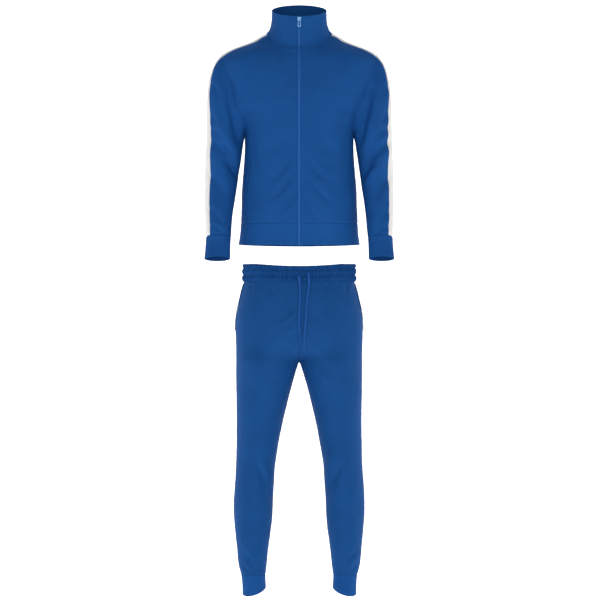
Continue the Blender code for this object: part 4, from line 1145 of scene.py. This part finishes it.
# %% Pocket welts
for garment, material in (("jacket", body_knit), ("joggers", joggers_knit)):
    for side, sign in SIDES:
        name = f"{garment}_pocket_welt_{side}"
        mesh = bmesh.new()
        mesh.from_mesh(nodes[name].data)
        bmesh.ops.remove_doubles(mesh, verts=mesh.verts, dist=1e-5)
        unroll(mesh, "torso", sign)
        welt = new_object(name + "_cloth", mesh)
        soft = welt.modifiers.new("turned edge", "BEVEL")
        soft.width = 0.0004
        soft.segments = 2
        soft.limit_method = "ANGLE"
        soft.angle_limit = math.radians(50)
        finish_piece(welt, material, SUIT)
        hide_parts(name)

# %% [markdown]
# ## The studio
# The photo has a plain white ground with no shadow, soft light from the front, and a bright edge on the
# outer sides of the sleeves and legs, which two tall lights from behind and beside give. The ground rises
# behind the suit, so its back is clear, and a view from behind sees through it to the suit.

# %% Ground
ground_mesh = bmesh.new()
bmesh.ops.create_grid(ground_mesh, x_segments=1, y_segments=1, size=9)
far_edge = [e for e in ground_mesh.edges if all(v.co.y > 8 for v in e.verts)]
risen = bmesh.ops.extrude_edge_only(ground_mesh, edges=far_edge)["geom"]
bmesh.ops.translate(ground_mesh, verts=[v for v in risen if isinstance(v, bmesh.types.BMVert)], vec=(0, 0, 9))
corner = [e for e in ground_mesh.edges if len(e.link_faces) == 2]
bmesh.ops.bevel(ground_mesh, geom=corner, offset=2.5, segments=12, profile=0.5, affect="EDGES", material=-1)
bmesh.ops.translate(ground_mesh, verts=ground_mesh.verts, vec=(0, -4.5, -1.84))
ground_mesh.normal_update()
bmesh.ops.reverse_faces(ground_mesh, faces=[f for f in ground_mesh.faces if f.normal.z < f.normal.y])
ground = new_object("ground", ground_mesh)
paper, paper_shader, paper_node, paper_link = new_material("white_paper")
paper_shader.inputs["Base Color"].default_value = (0.95, 0.95, 0.95, 1)
paper_shader.inputs["Roughness"].default_value = 0.9
paper_shader.inputs["Emission Color"].default_value = (1, 1, 1, 1)
paper_shader.inputs["Emission Strength"].default_value = 0.9
clear_back = paper_node("ShaderNodeMixShader")
paper_link(paper_node("ShaderNodeNewGeometry").outputs["Backfacing"], clear_back.inputs[0])
paper_link(paper_shader.outputs["BSDF"], clear_back.inputs[1])
paper_link(paper_node("ShaderNodeBsdfTransparent").outputs["BSDF"], clear_back.inputs[2])
paper_link(clear_back.outputs["Shader"], paper.node_tree.nodes["Material Output"].inputs["Surface"])
ground.data.materials.append(paper)


# %% Lights
def area_light(name, place, aim, width, height, power, colour=(1, 1, 1)):
    data = bpy.data.lights.new(name, "AREA")
    data.shape = "RECTANGLE"
    data.size, data.size_y = width, height
    data.energy = power
    data.color = colour
    light = bpy.data.objects.new(name, data)
    light.location = place
    light.rotation_euler = (Vector(aim) - Vector(place)).to_track_quat("-Z", "Y").to_euler()
    bpy.context.scene.collection.objects.link(light)
    return light


MIDDLE = (0, 0, -0.85)
area_light("front", (0.0, -3.6, 0.6), MIDDLE, 2.6, 2.0, 40)
area_light("over_the_neck", (0.0, -1.3, 1.5), (0, 0.04, 0.05), 0.7, 0.7, 4)
area_light("left_edge", (-2.0, 0.55, -0.7), MIDDLE, 0.5, 2.6, 11)
area_light("right_edge", (2.0, 0.55, -0.7), MIDDLE, 0.5, 2.6, 11)
world = bpy.data.worlds.new("world")
world.use_nodes = True
sky = world.node_tree.nodes["Background"]
sky.inputs["Color"].default_value = (1, 1, 1, 1)
seen_or_lighting = world.node_tree.nodes.new("ShaderNodeMapRange")
seen_or_lighting.inputs["To Min"].default_value = 0.29
seen_or_lighting.inputs["To Max"].default_value = 1.0
rays = world.node_tree.nodes.new("ShaderNodeLightPath")
world.node_tree.links.new(rays.outputs["Is Camera Ray"], seen_or_lighting.inputs["Value"])
world.node_tree.links.new(seen_or_lighting.outputs["Result"], sky.inputs["Strength"])
bpy.context.scene.world = world
bpy.context.scene.view_settings.view_transform = "Standard"
bpy.context.scene.view_settings.look = "None"

# %% The end
import json
